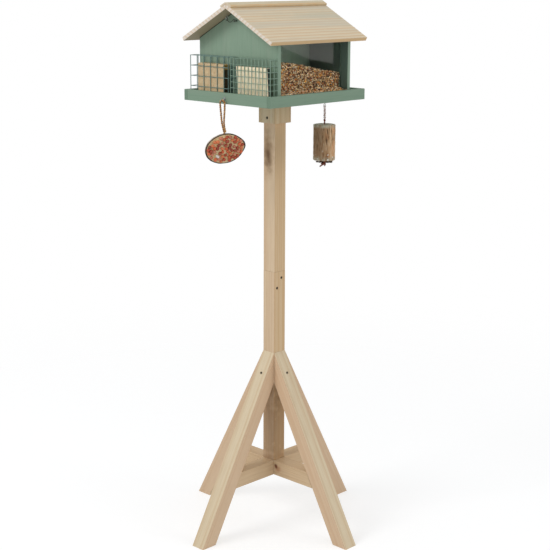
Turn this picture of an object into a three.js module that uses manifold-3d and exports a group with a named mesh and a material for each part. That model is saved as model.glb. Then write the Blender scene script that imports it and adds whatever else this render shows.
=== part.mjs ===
// A free-standing pine bird table with a seed hopper, two suet cages and two hanging feeders.
// Millimetres, +Z up. The origin is on the ground under the post's axis. X runs along the roof's
// ridge, the clear front pane faces -Y and the gable with the suet cages faces -X.
import * as THREE from "three";
import { mergeVertices } from "three/addons/utils/BufferGeometryUtils.js";
import Module from "manifold-3d";

const wasm = await Module();
wasm.setup();

// Clearances shared by the whole table
const FIT_GAP = 0.3;
const CUT_OVERRUN = 2;

// Stand: square timber, splayed legs, cross brace and a post in two lengths
const TIMBER = 40;
const FOOT_REACH = 283.6;
const LEG_TOP = 481;
const BRACE_TOP = 176.3;
const BRACE_END_GAP = 0.3;
const BRACE_FRONT_GAP = 1.4;
const POST_JOINT = 700;
const POST_TOP = 1149.8;
const TENON_SIDE = 24;
const TENON_LENGTH = 70;

// Countersunk wood screws
const SCREW_SHANK_RADIUS = 2;
const SCREW_HEAD_RADIUS = 3.7;
const SCREW_HEAD_HEIGHT = 2.6;
const SCREW_SINK = 1.4;
const SCREW_BITE = 14;
const LEG_SCREW_DROP = 55.4;
const JOINT_SCREW_LENGTH = 23;
// Where each screw crosses the tenon, as a share of the tenon's length below the joint
const JOINT_SCREW_UPPER_SHARE = 0.257;
const JOINT_SCREW_UPPER_SHIFT = 6.6;
const JOINT_SCREW_LOWER_SHARE = 0.629;
const JOINT_SCREW_LOWER_SHIFT = 9.5;
const FOOT_SCREW_BITE = 45;
const TRAY_SCREW_BITE = 35;
const TRAY_SCREW_OFFSET = 12.5;

// Collar of boards round the post's top
const COLLAR_BOARD = 9;
const COLLAR_HEIGHT = 58.8;
const COLLAR_SCREW_RISE = 14;

// Tray and house
const FLOOR_BOARD = 10;
const RIM_BOARD = 11;
const RIM_HEIGHT = 27.4;
const CHANNEL_WIDTH = 30.5;
const RIM_CLEARANCE = 3.5;
const GABLE_BOARD = 10;
const GABLE_OUTER = 131.8;
const GABLE_HALF_DEPTH = 139.5;
const DIVIDER_BOARD = 12;

// Clear panes in grooves of the gables
const PANE_THICKNESS = 3;
const PANE_INSET = 24;
const PANE_BASE_RISE = 18.2;
const PANE_HEIGHT = 126.4;
const PANE_GROOVE_DEPTH = 4;

// Roof
const RIDGE_RISE = 221.9;
const ROOF_DROP = 83.2;
const EAVE_OVERHANG = 15.1;
const VERGE_OVERHANG = 41.7;
const ROOF_BOARD = 10;
const CAP_REACH = 17.5;
const CAP_BOARD = 5;
const CAP_FLAT_HALF = 3.8;

// Seed fill: the deepest place behind the pane and the spill in front of it
const SEED_DEPTH = 91;
const SPILL_DEPTH_AT_PANE = 22;
const SPILL_DEPTH_AT_RIM = 15;
// Where the heap's top changes along the hopper: place across it, then height
const SEED_TOP_SHARES = [
  [-1, 0.955],
  [-0.76, 0.98],
  [-0.49, 1],
  [-0.2, 0.935],
  [0.11, 0.86],
  [0.41, 0.77],
  [0.72, 0.705],
  [1, 0.655],
];

// Suet cages and the cakes in them
const CAGE_WIRE = 1.4;
const CAGE_HEIGHT = 104;
const CAGE_BACK_PLAY = 3;
const CAGE_MIDDLE_HALF_GAP = 3;
const COARSE_MESH = 24.5;
const COARSE_ROWS = 4;
const COARSE_DEPTH_COLUMNS = 1;
const FINE_MESH = 12.45;
const FINE_ROWS = 7;
const FINE_DEPTH_COLUMNS = 2;
const SUET_EDGE = 2;
const SUET_BASE_GAP = 0.4;
const THICK_SUET_HEIGHT = 83.4;
const THICK_SUET_PLAY = 1.4;
const THICK_SUET_INSET = 19.6;
const THICK_SUET_FAR_INSET = 25.1;
const THIN_SUET_HEIGHT = 81.4;
const THIN_SUET_PLAY = 6.4;
const THIN_SUET_LEAN = 6;
const THIN_SUET_INSET = 18.2;
const THIN_SUET_FAR_INSET = 12.5;

// Hook and eye latches under the roof's overhang
const EYE_WIRE_RADIUS = 1;
const EYE_SHANK_RADIUS = 1.3;
const EYE_SHANK_BITE = 8;
const ROOF_EYE_RADIUS = 3.8;
const ROOF_EYE_NECK = 1.6;
const ROOF_EYE_PLACE = 31;
const GABLE_EYE_RADIUS = 3.6;
const GABLE_EYE_PLACE = 3.5;
const GABLE_EYE_DROP = 3.3;
const LATCH_STAND_OFF = 7.2;
const LATCH_WIRE_RADIUS = 0.9;
const LATCH_LOOP_RADIUS = 2.9;
const LATCH_TIP_LENGTH = 3;
// The hook's sagging bar: how far along from loop to tip, then how high against its length
const LATCH_BAR_SHARES = [
  [0, -0.09],
  [0.09, -0.19],
  [0.24, -0.245],
  [0.42, -0.245],
  [0.6, -0.15],
  [0.74, -0.03],
  [0.84, 0.045],
  [0.94, 0.04],
  [1, -0.03],
];

// Cup hook on the left rim
const CUP_WIRE_RADIUS = 1.2;
const CUP_BOWL_RADIUS = 5;
const CUP_PLACE = 4.8;
const CUP_BOWL_OUT = 7.7;
const CUP_SHANK_RISE = 13.4;
const CUP_SHANK_BITE = 8;
const CUP_PLATE_RADIUS = 4;
const CUP_PLATE = 0.9;

// Half coconut: an oval shell cut lengthwise, hung by its rim
const COCO_HALF_LENGTH = 52.6;
const COCO_HALF_WIDTH = 38.4;
const COCO_DEPTH = 33;
const COCO_WALL = 4.2;
const COCO_CROWN = 3;
const COCO_OUT = 4.7;
const COCO_ALONG = -1.4;
const COCO_DROP = 110.2;
const COCO_CORD_PLACE = 4;
const COCO_CORD_BEHIND = 5;
const COCO_FACE_AZIMUTH_DEG = 65;
const COCO_FACE_DOWN_DEG = 9;
const COCO_ROLL_DEG = 9.9;
const JUTE_RADIUS = 2.2;
// The jute from the shell's hole up over the hook and down beside itself
const JUTE_ROUTE = [
  [-180.3, -1.1, 1075.9],
  [-181.0, -1.3, 1079.0],
  [-181.2, -0.2, 1083.6],
  [-181.0, 3.2, 1090.0],
  [-181.0, 7.4, 1101.5],
  [-181.0, 9.5, 1114.0],
  [-181.0, 10.8, 1132.0],
  [-181.0, 12.9, 1150.0],
  [-181.0, 12.2, 1154.6],
  [-181.0, 9.8, 1157.8],
  [-181.0, 4.8, 1159.6],
  [-181.0, -0.2, 1157.8],
  [-181.0, -2.6, 1154.6],
  [-181.0, -3.3, 1150.0],
  [-181.0, -3.0, 1136.0],
  [-181.0, -2.5, 1118.0],
  [-181.0, -2.9, 1104.0],
  [-181.0, -4.0, 1092.0],
  [-181.0, -5.5, 1085.0],
  [-181.0, -6.4, 1081.2],
];

// Log feeder under the front rim
const LOG_RADIUS = 28.2;
const LOG_HEIGHT = 90.2;
const LOG_EDGE = 2;
const LOG_BORE_RADIUS = 4;
// The humps round the bark: how many, and how high against the radius
const BARK_HUMP_SHARES = [
  [3, 0.02],
  [7, 0.011],
];
const LOG_PLACE = 27;
const LOG_DROP = 53.3;
const LOG_EYE_RADIUS = 3.6;
const LOG_EYE_NECK = 1.5;
const CORD_RADIUS = 2.2;
const CORD_LOOP_STRAND = 1.2;
const CORD_LOOP_RADIUS = 2.7;
const TIE_RADIUS = 1.7;
const TIE_NECK = 6.4;
const TIE_KNOT_RADIUS = 3.6;
const TIE_LOWER_KNOT_RADIUS = 6.6;
const TIE_TAIL_REACH = 10.6;
const TIE_TAIL_DROP = 12.3;
const TWIG_RADIUS = 2.5;
const TWIG_LENGTH = 42;
const TWIG_BEND = 1;
const TWIG_SLACK = 2.1;
const TWIG_TURN_DEG = -45.7;

// Facet counts
const SCREW_SIDES = 10;
const WIRE_SIDES = 6;
const CORD_SIDES = 8;
const RING_STEPS = 12;
const HOOK_STEPS = 18;
const CUP_BOWL_STEPS = 8;
const JUTE_STEPS = 52;
const SHELL_SIDES = 24;
const SHELL_RINGS = 6;
const LOG_SIDES = 24;

// Sizes worked out from the ones above
const halfTimber = TIMBER / 2;
const leanPerRise = (FOOT_REACH - halfTimber) / LEG_TOP;
const footWidth = TIMBER * Math.hypot(1, leanPerRise);
const floorTop = POST_TOP + FLOOR_BOARD;
const gableInner = GABLE_OUTER - GABLE_BOARD;
const rimInnerX = GABLE_OUTER + CHANNEL_WIDTH;
const rimInnerY = GABLE_HALF_DEPTH + RIM_CLEARANCE;
const trayHalfX = rimInnerX + RIM_BOARD;
const trayHalfY = rimInnerY + RIM_BOARD;
const collarInner = halfTimber + FIT_GAP;
const collarHalf = collarInner + COLLAR_BOARD;
const ridgeUnder = floorTop + RIDGE_RISE;
const eaveReach = GABLE_HALF_DEPTH + EAVE_OVERHANG;
const roofSlope = ROOF_DROP / eaveReach;
const roofHalfX = GABLE_OUTER + VERGE_OVERHANG;
const slopeStretch = Math.hypot(1, roofSlope);
const roofRise = ROOF_BOARD * slopeStretch;
const paneY = GABLE_HALF_DEPTH - PANE_INSET - PANE_THICKNESS / 2;
const paneBase = floorTop + PANE_BASE_RISE;
const latchX = GABLE_OUTER + LATCH_STAND_OFF;

// Height of the roof's underside at a distance from the ridge
function roofUnder(away) {
  return ridgeUnder - roofSlope * Math.abs(away);
}

// Distance of a leg's inner face from the post's axis at a height
function legInner(height) {
  return FOOT_REACH - footWidth - leanPerRise * height;
}

function block(x0, x1, y0, y1, z0, z1) {
  const box = new THREE.BoxGeometry(x1 - x0, y1 - y0, z1 - z0);
  return box.translate((x0 + x1) / 2, (y0 + y1) / 2, (z0 + z1) / 2);
}

function outlineOf(points) {
  return new THREE.Shape(points.map(([across, up]) => new THREE.Vector2(across, up)));
}

// An outline of [y, z] points drawn out along X
function prismAlongX(points, x0, x1) {
  const prism = new THREE.ExtrudeGeometry(outlineOf(points), { depth: x1 - x0, bevelEnabled: false });
  const turn = new THREE.Matrix4().makeBasis(
    new THREE.Vector3(0, 1, 0),
    new THREE.Vector3(0, 0, 1),
    new THREE.Vector3(1, 0, 0),
  );
  return prism.applyMatrix4(turn).translate(x0, 0, 0);
}

// An outline of [x, z] points drawn out along Y
function prismAlongY(points, y0, y1) {
  const prism = new THREE.ExtrudeGeometry(outlineOf(points), { depth: y1 - y0, bevelEnabled: false });
  const turn = new THREE.Matrix4().makeBasis(
    new THREE.Vector3(1, 0, 0),
    new THREE.Vector3(0, 0, 1),
    new THREE.Vector3(0, -1, 0),
  );
  return prism.applyMatrix4(turn).translate(0, y1, 0);
}

// A round bar from one point to another
function bar(from, to, radius, sides) {
  const start = new THREE.Vector3(...from);
  const run = new THREE.Vector3(...to).sub(start);
  const cylinder = new THREE.CylinderGeometry(radius, radius, run.length(), sides);
  const turn = new THREE.Quaternion().setFromUnitVectors(
    new THREE.Vector3(0, 1, 0),
    run.clone().normalize(),
  );
  const middle = start.addScaledVector(run, 1 / 2);
  return cylinder.applyQuaternion(turn).translate(middle.x, middle.y, middle.z);
}

function ringOutline(radius, sides) {
  const points = [];
  for (let side = 0; side < sides; side += 1) {
    const angle = (2 * Math.PI * side) / sides;
    points.push([radius * Math.cos(angle), radius * Math.sin(angle)]);
  }
  return points;
}

// A tube through points, closed at both ends
function tube(points, radius, sides, steps) {
  const path = new THREE.CatmullRomCurve3(points.map((point) => new THREE.Vector3(...point)));
  const section = outlineOf(ringOutline(radius, sides));
  return new THREE.ExtrudeGeometry(section, { extrudePath: path, steps, bevelEnabled: false });
}

// A wire ring round the axis that is named
function wireRing(centre, ringRadius, wireRadius, axis) {
  const ring = new THREE.TorusGeometry(ringRadius, wireRadius, WIRE_SIDES, RING_STEPS);
  if (axis === "x") ring.rotateY(Math.PI / 2);
  if (axis === "y") ring.rotateX(Math.PI / 2);
  return ring.translate(...centre);
}

function toSolid(geometry) {
  const bare = geometry.clone();
  bare.deleteAttribute("normal");
  bare.deleteAttribute("uv");
  const merged = mergeVertices(bare);
  return new wasm.Manifold(
    new wasm.Mesh({
      numProp: 3,
      vertProperties: merged.attributes.position.array,
      triVerts: new Uint32Array(merged.index.array),
    }),
  );
}

function toGeometry(solid) {
  const found = solid.getMesh();
  const geometry = new THREE.BufferGeometry();
  geometry.setAttribute("position", new THREE.BufferAttribute(found.vertProperties, 3));
  geometry.setIndex(new THREE.BufferAttribute(found.triVerts, 1));
  geometry.computeVertexNormals();
  return geometry;
}

function cut(geometry, ...tools) {
  let solid = toSolid(geometry);
  for (const tool of tools) solid = solid.subtract(toSolid(tool));
  return toGeometry(solid);
}

function join(...geometries) {
  let solid = toSolid(geometries[0]);
  for (const geometry of geometries.slice(1)) solid = solid.add(toSolid(geometry));
  return toGeometry(solid);
}

// Finishes: colour, roughness, metalness, and how opaque a clear one is
const PINE = ["#cdbb9c", 0.75, 0];
const PINE_POST = ["#c6ad8a", 0.75, 0];
const GREEN = ["#7a927d", 0.8, 0];
const STEEL = ["#c9cbcc", 0.35, 1];
const DARK_STEEL = ["#3b3833", 0.5, 0.8];
const CLEAR = ["#dfe6e4", 0.1, 0, 0.35];
const SEED = ["#a3754a", 0.9, 0];
const GREEN_WIRE = ["#5f8a7b", 0.5, 0.3];
const SUET_TAN = ["#c3a073", 0.85, 0];
const SUET_CREAM = ["#d7c39b", 0.85, 0];
const JUTE = ["#b1834c", 0.95, 0];
const SHELL = ["#4d443c", 0.85, 0];
const NUT_FAT = ["#b9693f", 0.8, 0];
const PALE_CORD = ["#b9b0a8", 0.9, 0];
const BARK = ["#8c7453", 0.95, 0];
const DARK_TWIG = ["#3f2d20", 0.9, 0];
const BROWN_TIE = ["#6b3524", 0.95, 0];

const table = new THREE.Group();

function add(name, geometry, [colour, roughness, metalness, opacity = 1]) {
  const transparent = opacity < 1;
  const material = new THREE.MeshStandardMaterial({
    color: colour,
    roughness,
    metalness,
    opacity,
    transparent,
  });
  const mesh = new THREE.Mesh(geometry, material);
  mesh.name = name;
  table.add(mesh);
  return mesh;
}

// A screw along +X whose head's flat face is at the origin and whose shank runs to +X
function screwGeometry(length) {
  const profile = [
    [0, 0],
    [SCREW_HEAD_RADIUS, 0],
    [SCREW_SHANK_RADIUS, SCREW_HEAD_HEIGHT],
    [SCREW_SHANK_RADIUS, length - SCREW_SHANK_RADIUS],
    [0, length],
  ].map(([radius, along]) => new THREE.Vector2(radius, along));
  return new THREE.LatheGeometry(profile, SCREW_SIDES).rotateZ(-Math.PI / 2);
}

// The hole for that screw, open to the surface that the head is sunk under
function screwHole(length) {
  const headRadius = SCREW_HEAD_RADIUS + FIT_GAP;
  const shankRadius = SCREW_SHANK_RADIUS + FIT_GAP;
  const profile = [
    [0, -SCREW_SINK - CUT_OVERRUN],
    [headRadius, -SCREW_SINK - CUT_OVERRUN],
    [headRadius, FIT_GAP],
    [shankRadius, SCREW_HEAD_HEIGHT + 2 * FIT_GAP],
    [shankRadius, length + FIT_GAP],
    [0, length + FIT_GAP],
  ].map(([radius, along]) => new THREE.Vector2(radius, along));
  return new THREE.LatheGeometry(profile, SCREW_SIDES).rotateZ(-Math.PI / 2);
}

// Puts a screw or its hole with its head at a point, running along a direction
function placeScrew(geometry, head, direction) {
  const turn = new THREE.Quaternion().setFromUnitVectors(
    new THREE.Vector3(1, 0, 0),
    new THREE.Vector3(...direction),
  );
  return geometry.applyQuaternion(turn).translate(...head);
}

// One screw's solid and its hole, from the same place and length
function screwPair(head, direction, length) {
  return {
    screw: placeScrew(screwGeometry(length), head, direction),
    hole: placeScrew(screwHole(length), head, direction),
  };
}

// Every screw of the table
const legScrewHeight = LEG_TOP - LEG_SCREW_DROP;
const legOuterAtScrew = halfTimber + leanPerRise * LEG_SCREW_DROP;
// The leaning face is lower under the head's edge, so the head sinks past it
const legScrewSink = SCREW_SINK + SCREW_HEAD_RADIUS * leanPerRise;
const legScrewHead = legOuterAtScrew - legScrewSink;
const legScrewLength = legScrewHead - halfTimber + SCREW_BITE;
const jointScrewHead = halfTimber - SCREW_SINK;
const collarScrewHead = collarHalf - SCREW_SINK;
const collarScrewLength = COLLAR_BOARD + SCREW_BITE - SCREW_SINK;
const collarBase = POST_TOP - COLLAR_HEIGHT;
const braceBase = BRACE_TOP - TIMBER;
const SIDES = [
  { side: "right", direction: [1, 0], angle: 0 },
  { side: "back", direction: [0, 1], angle: Math.PI / 2 },
  { side: "left", direction: [-1, 0], angle: Math.PI },
  { side: "front", direction: [0, -1], angle: -Math.PI / 2 },
];
const legScrews = SIDES.map(({ direction: [x, y] }) =>
  screwPair([x * legScrewHead, y * legScrewHead, legScrewHeight], [-x, -y, 0], legScrewLength),
);
const jointScrews = [
  [JOINT_SCREW_UPPER_SHIFT, JOINT_SCREW_UPPER_SHARE],
  [-JOINT_SCREW_LOWER_SHIFT, JOINT_SCREW_LOWER_SHARE],
].map(([shift, share]) =>
  screwPair(
    [shift, -jointScrewHead, POST_JOINT - share * TENON_LENGTH],
    [0, 1, 0],
    JOINT_SCREW_LENGTH,
  ),
);
const collarScrews = [-1, 1].map((way) =>
  screwPair(
    [way * collarScrewHead, 0, collarBase + COLLAR_SCREW_RISE],
    [-way, 0, 0],
    collarScrewLength,
  ),
);
const footScrew = screwPair([0, 0, braceBase + SCREW_SINK], [0, 0, 1], TIMBER + FOOT_SCREW_BITE);
const trayScrews = [-1, 1].map((way) =>
  screwPair(
    [way * TRAY_SCREW_OFFSET, way * TRAY_SCREW_OFFSET, floorTop - SCREW_SINK],
    [0, 0, -1],
    FLOOR_BOARD + TRAY_SCREW_BITE,
  ),
);
const holesOf = (screws) => screws.map(({ hole }) => hole);

function buildLegs() {
  const seat = halfTimber + FIT_GAP;
  const footInner = FOOT_REACH - footWidth;
  const outline = [
    [seat, (footInner - seat) / leanPerRise],
    [footInner, 0],
    [FOOT_REACH, 0],
    [seat, (FOOT_REACH - seat) / leanPerRise],
  ];
  SIDES.forEach(({ side, angle }, index) => {
    const leg = prismAlongY(outline, -halfTimber, halfTimber).rotateZ(angle);
    add(`leg_${side}`, cut(leg, legScrews[index].hole), PINE);
    add(`leg_screw_${side}`, legScrews[index].screw, DARK_STEEL);
  });
}

// A brace bar with a half lap in its middle, cut to the legs' lean at its ends
function braceOutline(lapUp, startGap, endGap) {
  const lapHalf = halfTimber + FIT_GAP;
  const lapFloor = braceBase + halfTimber + (lapUp ? -FIT_GAP / 2 : FIT_GAP / 2);
  const top = [
    [legInner(BRACE_TOP) - endGap, BRACE_TOP],
    [-(legInner(BRACE_TOP) - startGap), BRACE_TOP],
  ];
  const base = [
    [-(legInner(braceBase) - startGap), braceBase],
    [legInner(braceBase) - endGap, braceBase],
  ];
  const lapEdge = lapUp ? BRACE_TOP : braceBase;
  const lap = [
    [lapHalf, lapEdge],
    [lapHalf, lapFloor],
    [-lapHalf, lapFloor],
    [-lapHalf, lapEdge],
  ];
  if (lapUp) return [top[0], ...lap, top[1], ...base];
  return [...top, base[0], ...lap.reverse(), base[1]];
}

function buildBrace() {
  const acrossX = prismAlongY(
    braceOutline(true, BRACE_END_GAP, BRACE_END_GAP),
    -halfTimber,
    halfTimber,
  );
  const acrossY = prismAlongX(
    braceOutline(false, BRACE_FRONT_GAP, BRACE_END_GAP),
    -halfTimber,
    halfTimber,
  );
  add("brace_bar_side", cut(acrossX, footScrew.hole), PINE);
  add("brace_bar_front", cut(acrossY, footScrew.hole), PINE);
  add("post_foot_screw", footScrew.screw, DARK_STEEL);
}

function buildPost() {
  const halfTenon = TENON_SIDE / 2;
  const halfMortise = halfTenon + FIT_GAP;
  const lowerBase = BRACE_TOP + FIT_GAP;
  const lower = block(-halfTimber, halfTimber, -halfTimber, halfTimber, lowerBase, POST_JOINT);
  const mortise = block(
    -halfMortise,
    halfMortise,
    -halfMortise,
    halfMortise,
    POST_JOINT - TENON_LENGTH - FIT_GAP,
    POST_JOINT + CUT_OVERRUN,
  );
  const lowerHoles = [...holesOf(legScrews), ...holesOf(jointScrews), footScrew.hole];
  add("lower_post", cut(lower, mortise, ...lowerHoles), PINE_POST);
  const upper = block(
    -halfTimber,
    halfTimber,
    -halfTimber,
    halfTimber,
    POST_JOINT + FIT_GAP,
    POST_TOP - FIT_GAP,
  );
  const tenon = block(
    -halfTenon,
    halfTenon,
    -halfTenon,
    halfTenon,
    POST_JOINT - TENON_LENGTH,
    POST_JOINT + CUT_OVERRUN,
  );
  const upperHoles = [...holesOf(jointScrews), ...holesOf(collarScrews), ...holesOf(trayScrews)];
  add("upper_post", cut(join(upper, tenon), ...upperHoles), PINE_POST);
  add("post_screw_upper", jointScrews[0].screw, DARK_STEEL);
  add("post_screw_lower", jointScrews[1].screw, DARK_STEEL);
}

function buildCollar() {
  for (const [name, way] of [["collar_front", -1], ["collar_back", 1]]) {
    const near = way * collarInner;
    const far = way * collarHalf;
    const [y0, y1] = [Math.min(near, far), Math.max(near, far)];
    add(name, block(-collarHalf, collarHalf, y0, y1, collarBase, POST_TOP - FIT_GAP), PINE);
  }
  [["left", -1], ["right", 1]].forEach(([side, way], index) => {
    const near = way * collarInner;
    const far = way * collarHalf;
    const [x0, x1] = [Math.min(near, far), Math.max(near, far)];
    const board = block(x0, x1, -halfTimber, halfTimber, collarBase, POST_TOP - FIT_GAP);
    add(`collar_${side}`, cut(board, collarScrews[index].hole), PINE);
    add(`collar_screw_${side}`, collarScrews[index].screw, DARK_STEEL);
  });
}

const cupHook = {
  x: -trayHalfX - CUP_BOWL_OUT,
  bowlZ: POST_TOP + CUP_SHANK_RISE - CUP_BOWL_RADIUS / 2,
};
const logEye = {
  y: -(rimInnerY + RIM_BOARD / 2),
  z: POST_TOP - LOG_EYE_NECK - EYE_WIRE_RADIUS - LOG_EYE_RADIUS,
};

function buildTray() {
  const [floorX, floorY] = [rimInnerX - FIT_GAP, rimInnerY - FIT_GAP];
  const floor = block(-floorX, floorX, -floorY, floorY, POST_TOP, floorTop);
  add("tray_floor", cut(floor, ...holesOf(trayScrews)), GREEN);
  add("tray_screw_front", trayScrews[0].screw, DARK_STEEL);
  add("tray_screw_back", trayScrews[1].screw, DARK_STEEL);
  const rimTop = POST_TOP + RIM_HEIGHT;
  const logHole = bar(
    [LOG_PLACE, logEye.y, POST_TOP - CUT_OVERRUN],
    [LOG_PLACE, logEye.y, POST_TOP + EYE_SHANK_BITE + FIT_GAP],
    EYE_SHANK_RADIUS + FIT_GAP,
    WIRE_SIDES,
  );
  const cupHoleZ = POST_TOP + CUP_SHANK_RISE;
  const cupHole = bar(
    [-trayHalfX - CUT_OVERRUN, CUP_PLACE, cupHoleZ],
    [-trayHalfX + CUP_SHANK_BITE + FIT_GAP, CUP_PLACE, cupHoleZ],
    CUP_WIRE_RADIUS + FIT_GAP,
    WIRE_SIDES,
  );
  const front = block(-trayHalfX, trayHalfX, -trayHalfY, -rimInnerY, POST_TOP, rimTop);
  add("rim_front", cut(front, logHole), GREEN);
  add("rim_back", block(-trayHalfX, trayHalfX, rimInnerY, trayHalfY, POST_TOP, rimTop), GREEN);
  const left = block(-trayHalfX, -rimInnerX, -floorY, floorY, POST_TOP, rimTop);
  add("rim_left", cut(left, cupHole), GREEN);
  add("rim_right", block(rimInnerX, trayHalfX, -floorY, floorY, POST_TOP, rimTop), GREEN);
}

// The gable eye hangs below the pivot of the hook on the roof's eye
const roofEyeBottom =
  roofUnder(ROOF_EYE_PLACE) - ROOF_EYE_NECK - EYE_WIRE_RADIUS - 2 * ROOF_EYE_RADIUS;
const gableEyeZ = roofEyeBottom - GABLE_EYE_DROP;

function buildHouse() {
  const outline = [
    [-GABLE_HALF_DEPTH, floorTop + FIT_GAP],
    [GABLE_HALF_DEPTH, floorTop + FIT_GAP],
    [GABLE_HALF_DEPTH, roofUnder(GABLE_HALF_DEPTH) - FIT_GAP],
    [0, ridgeUnder - FIT_GAP],
    [-GABLE_HALF_DEPTH, roofUnder(GABLE_HALF_DEPTH) - FIT_GAP],
  ];
  const grooveHalf = PANE_THICKNESS / 2 + FIT_GAP;
  for (const [side, way] of [["left", -1], ["right", 1]]) {
    const [x0, x1] = way < 0 ? [-GABLE_OUTER, -gableInner] : [gableInner, GABLE_OUTER];
    const tools = [-1, 1].map((face) => {
      const grooveEnd = way * (gableInner + PANE_GROOVE_DEPTH);
      const grooveMouth = way * (gableInner - CUT_OVERRUN);
      return block(
        Math.min(grooveEnd, grooveMouth),
        Math.max(grooveEnd, grooveMouth),
        face * paneY - grooveHalf,
        face * paneY + grooveHalf,
        paneBase - FIT_GAP,
        ridgeUnder,
      );
    });
    tools.push(
      bar(
        [way * (GABLE_OUTER + CUT_OVERRUN), GABLE_EYE_PLACE, gableEyeZ],
        [way * (GABLE_OUTER - EYE_SHANK_BITE - FIT_GAP), GABLE_EYE_PLACE, gableEyeZ],
        EYE_SHANK_RADIUS + FIT_GAP,
        WIRE_SIDES,
      ),
    );
    add(`gable_${side}`, cut(prismAlongX(outline, x0, x1), ...tools), GREEN);
  }
  const halfDivider = DIVIDER_BOARD / 2;
  const dividerHalfX = gableInner - FIT_GAP;
  add(
    "divider",
    block(
      -dividerHalfX,
      dividerHalfX,
      -halfDivider,
      halfDivider,
      floorTop + FIT_GAP,
      roofUnder(halfDivider) - FIT_GAP,
    ),
    GREEN,
  );
  const paneHalf = gableInner + PANE_GROOVE_DEPTH - FIT_GAP;
  for (const [name, face] of [["pane_front", -1], ["pane_back", 1]]) {
    const middle = face * paneY;
    const [y0, y1] = [middle - PANE_THICKNESS / 2, middle + PANE_THICKNESS / 2];
    add(name, block(-paneHalf, paneHalf, y0, y1, paneBase, paneBase + PANE_HEIGHT), CLEAR);
  }
}

// Seed behind a pane, under its edge and spilled in front of it, as one heap
function buildSeed() {
  const half = gableInner - FIT_GAP;
  const paneFar = paneY - PANE_THICKNESS / 2 - FIT_GAP;
  const paneNear = paneY + PANE_THICKNESS / 2 + FIT_GAP;
  const heap = SEED_TOP_SHARES.map(([across, up]) => [across * half, floorTop + up * SEED_DEPTH]);
  const base = floorTop + FIT_GAP;
  const hopperOutline = [[-half, base], [half, base], ...heap.reverse()];
  const hopper = prismAlongY(hopperOutline, DIVIDER_BOARD / 2 + FIT_GAP, paneFar);
  const spillOutline = [
    [paneFar - CUT_OVERRUN, base],
    [rimInnerY - FIT_GAP, base],
    [rimInnerY - FIT_GAP, floorTop + SPILL_DEPTH_AT_RIM],
    [paneNear, floorTop + SPILL_DEPTH_AT_PANE],
    [paneNear, paneBase - FIT_GAP],
    [paneFar - CUT_OVERRUN, paneBase - FIT_GAP],
  ];
  const spill = prismAlongX(spillOutline, -half, half);
  const back = join(hopper, spill);
  add("seed_back", back, SEED);
  const front = back.clone().applyMatrix4(new THREE.Matrix4().makeScale(1, -1, 1));
  front.setIndex(Array.from(front.index.array).reverse());
  front.computeVertexNormals();
  add("seed_front", front, SEED);
}

function buildRoof() {
  const cos = 1 / slopeStretch;
  const sin = roofSlope / slopeStretch;
  const halfSeam = FIT_GAP / 2;
  const eaveUnder = roofUnder(eaveReach);
  for (const [name, way] of [["roof_panel_front", -1], ["roof_panel_back", 1]]) {
    const outline = [
      [way * halfSeam, roofUnder(halfSeam)],
      [way * eaveReach, eaveUnder],
      [way * (eaveReach + ROOF_BOARD * sin), eaveUnder + ROOF_BOARD * cos],
      [way * halfSeam, roofUnder(halfSeam) + roofRise],
    ];
    const panel = prismAlongX(outline, -roofHalfX, roofHalfX);
    if (way < 0) {
      add(name, panel, PINE);
      continue;
    }
    const eyeHoles = [-1, 1].map((end) => {
      const base = roofUnder(ROOF_EYE_PLACE);
      return bar(
        [end * latchX, ROOF_EYE_PLACE, base - CUT_OVERRUN],
        [end * latchX, ROOF_EYE_PLACE, base + EYE_SHANK_BITE + FIT_GAP],
        EYE_SHANK_RADIUS + FIT_GAP,
        WIRE_SIDES,
      );
    });
    add(name, cut(panel, ...eyeHoles), PINE);
  }
  const capUnder = (away) => roofUnder(away) + roofRise + FIT_GAP;
  const capRise = CAP_BOARD * slopeStretch;
  const wingTip = [CAP_REACH + CAP_BOARD * sin, capUnder(CAP_REACH) + CAP_BOARD * cos];
  const flat = [CAP_FLAT_HALF, capUnder(CAP_FLAT_HALF) + capRise];
  const capOutline = [
    [0, capUnder(0)],
    [CAP_REACH, capUnder(CAP_REACH)],
    wingTip,
    flat,
    [-flat[0], flat[1]],
    [-wingTip[0], wingTip[1]],
    [-CAP_REACH, capUnder(CAP_REACH)],
  ];
  add("ridge_cap", prismAlongX(capOutline, -roofHalfX, roofHalfX), PINE);
}

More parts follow.
